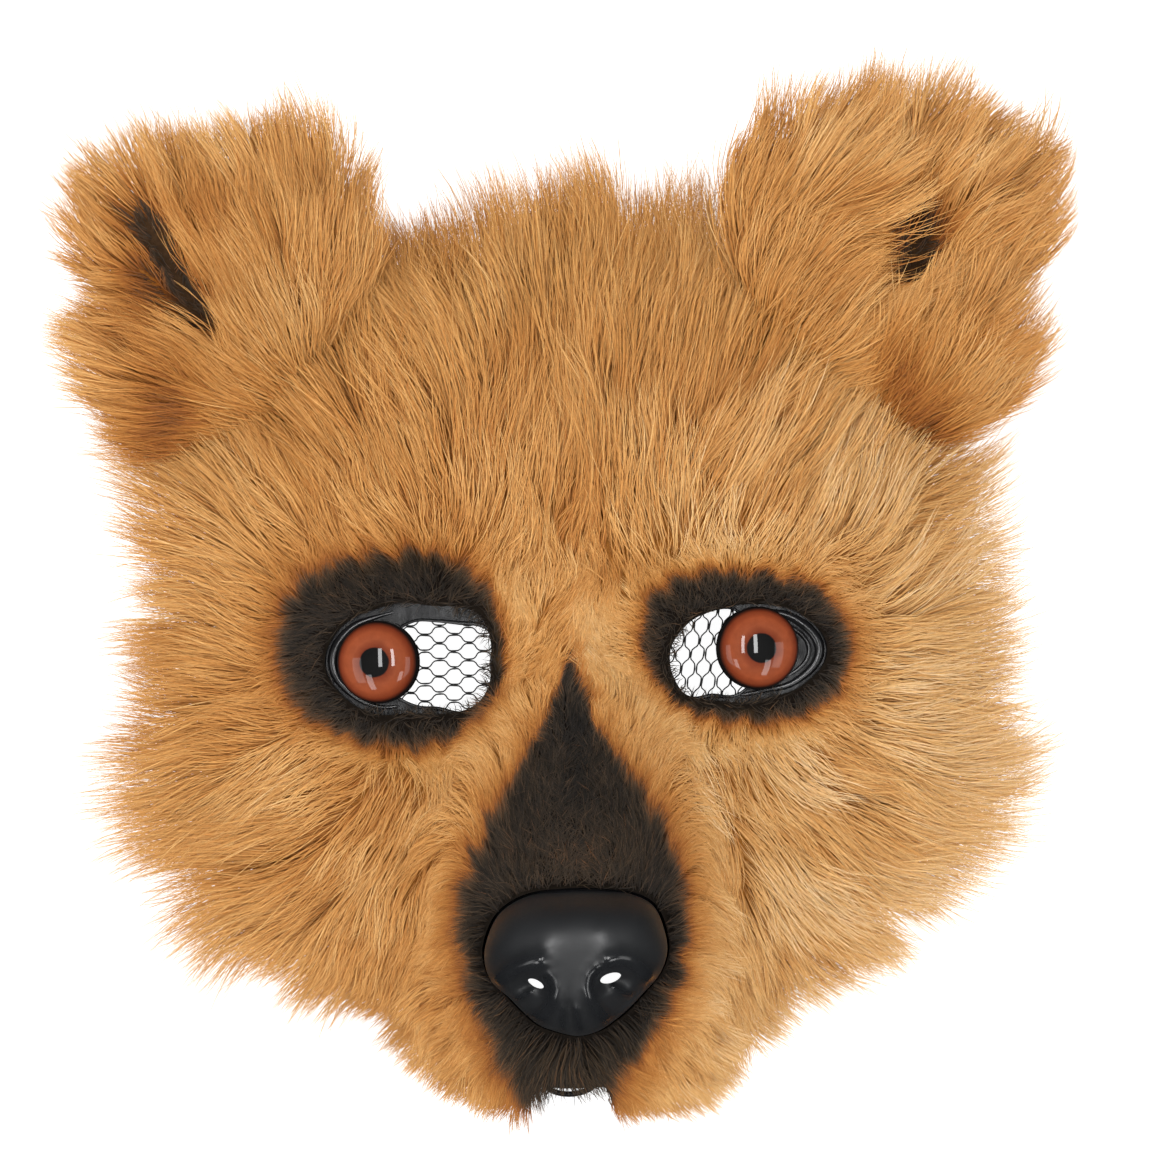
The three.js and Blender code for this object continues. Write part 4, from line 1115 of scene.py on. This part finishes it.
def build_eye(name, side):
    steps, rows = 72, 30
    profile = [(0, 0.0), (EYE["radius"] - 0.5, 0.0), (EYE["radius"] - 0.12, 0.12), (EYE["radius"], 0.5), (EYE["radius"], EYE["edge"])]
    for i in range(1, rows + 1):
        turn = math.pi / 2 * i / rows
        profile.append((EYE["radius"] * math.cos(turn), EYE["edge"] + (EYE["height"] - EYE["edge"]) * math.sin(turn)))
    profile = profile[1:-1]
    x, y, z, _ = seat_frame(side, 0)
    base = np.array([side * EYE["x"], EYE["y"], float(seat_plane(np.array(EYE["x"])))]) + z * EYE["lift"]
    pts, faces, iris = [base], [], [1.0]
    for r, h in profile:
        for k in range(steps):
            a = 2 * math.pi * k / steps
            pts.append(base + x * r * math.cos(a) + y * r * math.sin(a) + z * h)
            iris.append(r / EYE["radius"])
    pts.append(base + z * EYE["height"])
    iris.append(0.0)
    last = len(pts) - 1
    for k in range(steps):
        m = (k + 1) % steps
        faces.append((0, 1 + m, 1 + k))
        for j in range(len(profile) - 1):
            a, b = 1 + j * steps, 1 + (j + 1) * steps
            faces.append((a + k, a + m, b + m, b + k))
        a = 1 + (len(profile) - 1) * steps
        faces.append((a + k, a + m, last))
    ob = make_object(f"eye_dome_{name}", py_mesh(f"eye_dome_{name}", pts, faces), EYE_MAT, "eye_plastic", f"eye_{name}")
    smooth_all(ob.data, 60)
    ob.data.attributes.new("iris", "FLOAT", "POINT").data.foreach_set("value", np.array(iris, np.float32))
    return ob


NETS = {
    # pitch between threads, wave length, height of the wave, how the threads run
    "left": dict(window=LEFT_WINDOW, side=-1, pitch=2.05, wave=7.3, height=0.84, turn=-2.0, slant=0.0),
    "right": dict(window=RIGHT_WINDOW, side=1, pitch=1.84, wave=6.9, height=0.73, turn=90.0, slant=-0.17),
}
THREAD = 0.18


def build_net(name):
    net = NETS[name]
    side = net["side"]
    x, y, z, _ = seat_frame(side, 0)
    window = net["window"]
    middle = np.array([side * SEAT["x"], 0, SEAT["z"]]) - z * (WALL + GAP + 0.5)
    local = (window[0] - side * SEAT["x"], window[1], window[2])
    c, s = math.cos(math.radians(net["turn"])), math.sin(math.radians(net["turn"]))
    parts = []
    u = np.arange(-24, 24, net["wave"] / 14)
    for j in range(-14, 15):
        phase = np.cos(2 * np.pi * u / net["wave"] + j * np.pi)
        v = j * net["pitch"] + net["height"] * np.tanh(2.1 * phase) / math.tanh(2.1)
        u2 = u + 0.16 * np.sin(u * 0.9 + j)
        v2 = v + 0.1 * np.sin(u * 0.55 + j * 1.7)
        px, py = u2 * c - v2 * s + local[0], u2 * s + v2 * c + local[1]
        px = px - net["slant"] * (py - local[1])
        w = 0.1 * np.sin(u * 2 * np.pi / net["wave"] * 2 + j)
        ok = inside(local, px, py, 2.2) > 0
        for run in np.split(np.flatnonzero(ok), np.flatnonzero(np.diff(np.flatnonzero(ok)) > 1) + 1):
            if len(run) < 4:
                continue
            path = middle + x * px[run, None] + y * py[run, None] + z * w[run, None]
            swell = 1 + 0.35 * np.clip(np.abs(phase[run]) ** 6, 0, 1)
            parts.append(tube(path, THREAD * swell, 5))
    ob = make_object(f"net_{name}", py_mesh(f"net_{name}", *joined(parts)), NET_MAT, "net", f"eye_mesh_{name}")
    smooth_all(ob.data)
    return ob


# ------------------------------------------------------------------ nose
# ridges and hollows of the nose, each along a short line of points
RIDGES = [  # name, points, width, height
    ("left wing", [(-19.0, -76.2), (-17.2, -74.3), (-14.6, -72.8), (-11.6, -71.9), (-9.4, -71.6)], 2.7, 2.0),
    ("left wing's inner side", [(-7.4, -75.8), (-6.2, -78.6), (-6.9, -82.3), (-9.3, -85.2), (-12.0, -85.8)], 2.2, 1.9),
    ("left fold", [(-15.2, -81.0), (-13.2, -79.6), (-11.4, -78.9)], 0.9, 1.3),
    ("right wing", [(7.0, -72.3), (9.6, -71.9), (12.2, -72.6), (14.4, -74.2), (16.0, -76.2), (16.9, -78.0)], 2.7, 2.0),
    ("right wing's inner side", [(4.4, -74.0), (2.8, -76.0), (2.1, -78.4), (2.5, -81.0), (3.8, -83.8), (6.0, -86.4)], 2.1, 1.9),
    ("right fold", [(8.0, -78.6), (9.8, -79.9), (12.2, -80.8)], 0.9, 1.3),
    ("left of the groove", [(-4.3, -83.4), (-4.5, -88.5)], 1.1, 0.8),
    ("right of the groove", [(-1.0, -83.4), (-0.4, -88.5)], 1.1, 0.8),
]
HOLLOWS = [  # name, points, width, depth
    ("left nostril", [(-12.5, -77.6), (-9.0, -77.6)], 3.0, 4.2),
    ("left nostril's floor", [(-15.0, -83.5), (-10.0, -82.0)], 3.2, 2.6),
    ("right nostril", [(6.0, -77.2), (10.2, -76.8)], 3.0, 4.2),
    ("right nostril's floor", [(8.0, -83.0), (13.0, -81.6)], 3.4, 2.6),
    ("groove", [(-2.7, -82.5), (-2.5, -91.0)], 1.0, 1.0),
    ("left dimple", [(-18.0, -70.8), (-15.0, -69.9)], 3.0, 0.7),
]


def line_distance(x, y, points):
    best = np.full(x.shape, 1e9)
    for a, b in zip(points, points[1:]):
        best = np.minimum(best, segment_distance(x, y, a, b)[0])
    return best


def nose_height(x, y, t):
    z = NOSE_FRONT - NOSE_DEPTH * (1 - np.sqrt(np.maximum(0, 1 - t ** NOSE_POWER))) + NOSE_TILT * (y - NOSE[1])
    fade = 1 - smooth((t - 0.9) / 0.1)
    blend = lambda rows: sum((h * np.exp(-((line_distance(x, y, pts) / w) ** 2))) ** 3 for _, pts, w, h in rows) ** (1 / 3)
    return z + (blend(RIDGES) - blend(HOLLOWS)) * fade


def build_nose():
    angles = np.arange(0, 360, 2.5)
    rings = 38
    s = np.linspace(0, 1, rings + 1)[1:]
    deg, ss = np.meshgrid(angles, s)
    t = 1.5 * ss - 0.5 * ss ** 3
    edge = around(NOSE[2], 0, deg)

    def sheet(inset):
        r = np.maximum(edge - inset, 1) * t
        x, y = NOSE[0] + r * np.cos(np.radians(deg)), NOSE[1] + r * np.sin(np.radians(deg))
        z = nose_height(x, y, t) - inset
        mid = np.array([NOSE[0], NOSE[1], float(nose_height(np.array([NOSE[0]]), np.array([NOSE[1]]), np.array([0.0]))[0]) - inset])
        return mid, np.stack([x, y, z], -1)

    top, low = sheet(0.0), sheet(1.9)
    # skirt down to the shell's face
    foot = []
    for k, a in enumerate(angles):
        x, y, _ = top[1][-1, k]
        dx, dy = x - CENTRE[0], y - CENTRE[1]
        foot.append(float(ground(np.array([x]), np.array([y]))[0]) - 1.2)
    foot = np.minimum(np.array(foot), top[1][-1, :, 2] - 2)
    for sheet_ in (top, low):
        skirt = np.repeat(sheet_[1][-1:], 3, 0).copy()
        for j, k in enumerate((0.3, 0.65, 1.0)):
            skirt[j, :, 2] = lerp(sheet_[1][-1, :, 2], foot, k)
        if sheet_ is top:
            top = (top[0], np.concatenate([top[1], skirt]))
        else:
            low = (low[0], np.concatenate([low[1], skirt]))
    ob = make_object("nose_moulding", py_mesh("nose_moulding", *grid_solid(top, low)), NOSE_MAT, "nose_plastic", "nose")
    cut(ob, [prism(oval(x, y, rx, ry, turn, 32), 60, 140) for x, y, rx, ry, turn in NOSTRILS])
    smooth_all(ob.data, 50)
    # rubbed shiny on the ridges and in two spots on top, dull elsewhere
    co = np.empty(len(ob.data.vertices) * 3, np.float32)
    ob.data.vertices.foreach_get("co", co)
    co = co.reshape(-1, 3) * 1000 - SHIFT
    x, y = co[:, 0], co[:, 1]
    crest = np.max([np.exp(-((line_distance(x, y, pts) / (0.8 * w)) ** 2)) * min(1, h) for _, pts, w, h in RIDGES], 0)
    spots = sum(np.exp(-((x - u) / 3.4) ** 2 - ((y - v) / 2.6) ** 2) for u, v in ((-6.9, -67.1), (6.4, -66.1)))
    polish = np.clip(0.1 + crest + 0.6 * spots, 0, 1)
    ob.data.attributes.new("polish", "FLOAT", "POINT").data.foreach_set("value", polish.astype(np.float32))
    return ob


# ------------------------------------------------------------------ strap
def build_strap():
    box_lo, box_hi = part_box("elastic_strap")
    half = (box_hi[0] - box_lo[0]) * 500
    q = STRAP
    mid = q["floor"] + q["thick"] / 2
    x0 = half - q["thick"] / 2
    line = [(x0, q["tab"]), (x0, lerp(q["tab"], mid + q["bend"], 0.5))]
    for i in range(9):
        turn = math.pi / 2 * i / 8
        line.append((x0 - q["bend"] + q["bend"] * math.cos(turn), mid + q["bend"] - q["bend"] * math.sin(turn)))
    side = x0 - q["bend"]
    for i in range(1, 64):
        x = side - 2 * side * i / 64
        wave = q["hump"] * max(0, math.cos(math.pi * (x - 12) / 96)) ** 2 if abs(x - 12) < 48 else 0
        line.append((x, mid + wave))
    for i in range(8, -1, -1):
        turn = math.pi / 2 * i / 8
        line.append((-(x0 - q["bend"] + q["bend"] * math.cos(turn)), mid + q["bend"] - q["bend"] * math.sin(turn)))
    line += [(-x0, lerp(q["tab"], mid + q["bend"], 0.5)), (-x0, q["tab"])]
    line = np.array(line)
    length = float(np.sum(np.hypot(*np.diff(line, axis=0).T)))
    tangent = unit(np.gradient(line, axis=0))
    normal = np.stack([-tangent[:, 1], tangent[:, 0]], -1)
    section = []
    ribs = 9
    for i in range(ribs * 4 + 1):
        v = -q["width"] / 2 + q["width"] * i / (ribs * 4)
        edge = math.sqrt(max(0, 1 - (abs(v) / (q["width"] / 2)) ** 8))
        h = (q["thick"] / 2 - 0.08 + 0.08 * math.cos(2 * math.pi * i / 4)) * (0.45 + 0.55 * edge)
        section.append((v, h))
    section = section + [(v, -h) for v, h in section[::-1]]
    m = len(section)
    pts = []
    for (lx, lz), nn in zip(line, normal):
        for v, h in section:
            pts.append((lx + nn[0] * h, q["y"] + v, lz + nn[1] * h))
    n = len(line)
    faces = [(i * m + j, (i + 1) * m + j, (i + 1) * m + (j + 1) % m, i * m + (j + 1) % m) for i in range(n - 1) for j in range(m)]
    faces += [tuple(range(m)), tuple((n - 1) * m + j for j in range(m))[::-1]]
    me = py_mesh("strap_band", pts, faces)
    ob = make_object("strap_band", me, ELASTIC, "elastic", "elastic_strap")
    smooth_all(ob.data, 50)
    return ob, length


# ------------------------------------------------------------------ camera and light
def build_camera():
    data = bpy.data.cameras.new("camera")
    data.sensor_width = 36
    data.lens = 36 * 2000 / (1160 * 0.245)
    data.clip_start, data.clip_end = 0.1, 20
    cam = bpy.data.objects.new("camera", data)
    bpy.context.scene.collection.objects.link(cam)
    cam.location = (-0.0005, 0.0056, 2.05)
    cam.rotation_euler = (0, 0, math.radians(-2.127))
    bpy.context.scene.camera = cam


def area_light(name, place, target, size, power, colour=(1, 1, 1), height=None):
    data = bpy.data.lights.new(name, "AREA")
    data.energy, data.color = power, colour
    data.shape = "RECTANGLE" if height else "SQUARE"
    data.size = size
    if height:
        data.size_y = height
    ob = bpy.data.objects.new(name, data)
    bpy.context.scene.collection.objects.link(ob)
    ob.location = place
    z = (Vector(place) - Vector(target)).normalized()
    x = Vector((0, 1, 0)).cross(z).normalized()
    ob.rotation_mode = "QUATERNION"
    ob.rotation_quaternion = Matrix((x, z.cross(x), z)).transposed().to_quaternion()
    return ob


def build_stage():
    bm = bmesh.new()
    bmesh.ops.create_circle(bm, cap_ends=True, radius=3.0, segments=64)
    me = bpy.data.meshes.new("floor")
    bm.to_mesh(me)
    bm.free()
    floor = bpy.data.objects.new("floor", me)
    bpy.context.scene.collection.objects.link(floor)
    n = Nodes("pale_floor")
    n.set(Base_Color=(0.3, 0.3, 0.3, 1), Roughness=0.9, Specular_IOR_Level=0.1, Emission_Color=(1, 1, 1, 1), Emission_Strength=0.98)
    me.materials.append(n.mat)
    floor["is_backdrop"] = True
    floor.visible_glossy = False
    world = bpy.data.worlds.new("studio") if bpy.context.scene.world is None else bpy.context.scene.world
    bpy.context.scene.world = world
    world.use_nodes = True
    world.cycles_visibility.glossy = False  # black plastic shows the lamps only
    tree = world.node_tree
    back = tree.nodes["Background"]
    back.inputs["Strength"].default_value = 0.6
    place = tree.nodes.new("ShaderNodeTexCoord")
    split = tree.nodes.new("ShaderNodeSeparateXYZ")
    ramp = tree.nodes.new("ShaderNodeValToRGB")
    ramp.color_ramp.elements[0].position, ramp.color_ramp.elements[0].color = 0.55, (1, 1, 1, 1)
    ramp.color_ramp.elements[1].position, ramp.color_ramp.elements[1].color = 0.93, (0.12, 0.12, 0.12, 1)
    tree.links.new(place.outputs["Generated"], split.inputs[0])
    tree.links.new(split.outputs["Z"], ramp.inputs["Fac"])
    tree.links.new(ramp.outputs["Color"], back.inputs["Color"])
    for name, side, power in (("left", -1, 7.2), ("right", 1, 8.4)):
        area_light(f"strip_{name}", (side * 0.29, 0.18, 1.5), (side * 0.1, 0.05, 0.03), 0.16, power, height=0.8)
        area_light(f"side_{name}", (side * 1.15, -0.35, 0.95), (0, -0.05, 0.06), 0.5, 4.2, height=1.1)
        area_light(f"box_{name}", (side * 0.74, -0.98, 1.2), (0, 0, 0.03), 0.3, 6.0, height=0.95)
    key = area_light("key", (-1.1, 1.0, 0.95), (0, 0, 0.04), 1.3, 9)
    key.visible_glossy = False
    view = bpy.context.scene.view_settings
    view.view_transform = "Standard"
    view.look = "None"


# ------------------------------------------------------------------ build
build_camera()
build_stage()
build_shell()
pelt = build_pelt()
face_fur = build_face_fur()
ears = {name: build_ear(name) for name in ("left", "right")}
for name, side in (("left", -1), ("right", 1)):
    build_eye(name, side)
    build_net(name)
build_nose()
strap, strap_length = build_strap()

total = 0
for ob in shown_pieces():
    if ob.type == "MESH" and ob.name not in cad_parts:
        ob.data.calc_loop_triangles()
        total += len(ob.data.loop_triangles)
        print("PIECE", ob.name, len(ob.data.loop_triangles))
print("TRIANGLES", total, "strap", round(strap_length, 1))
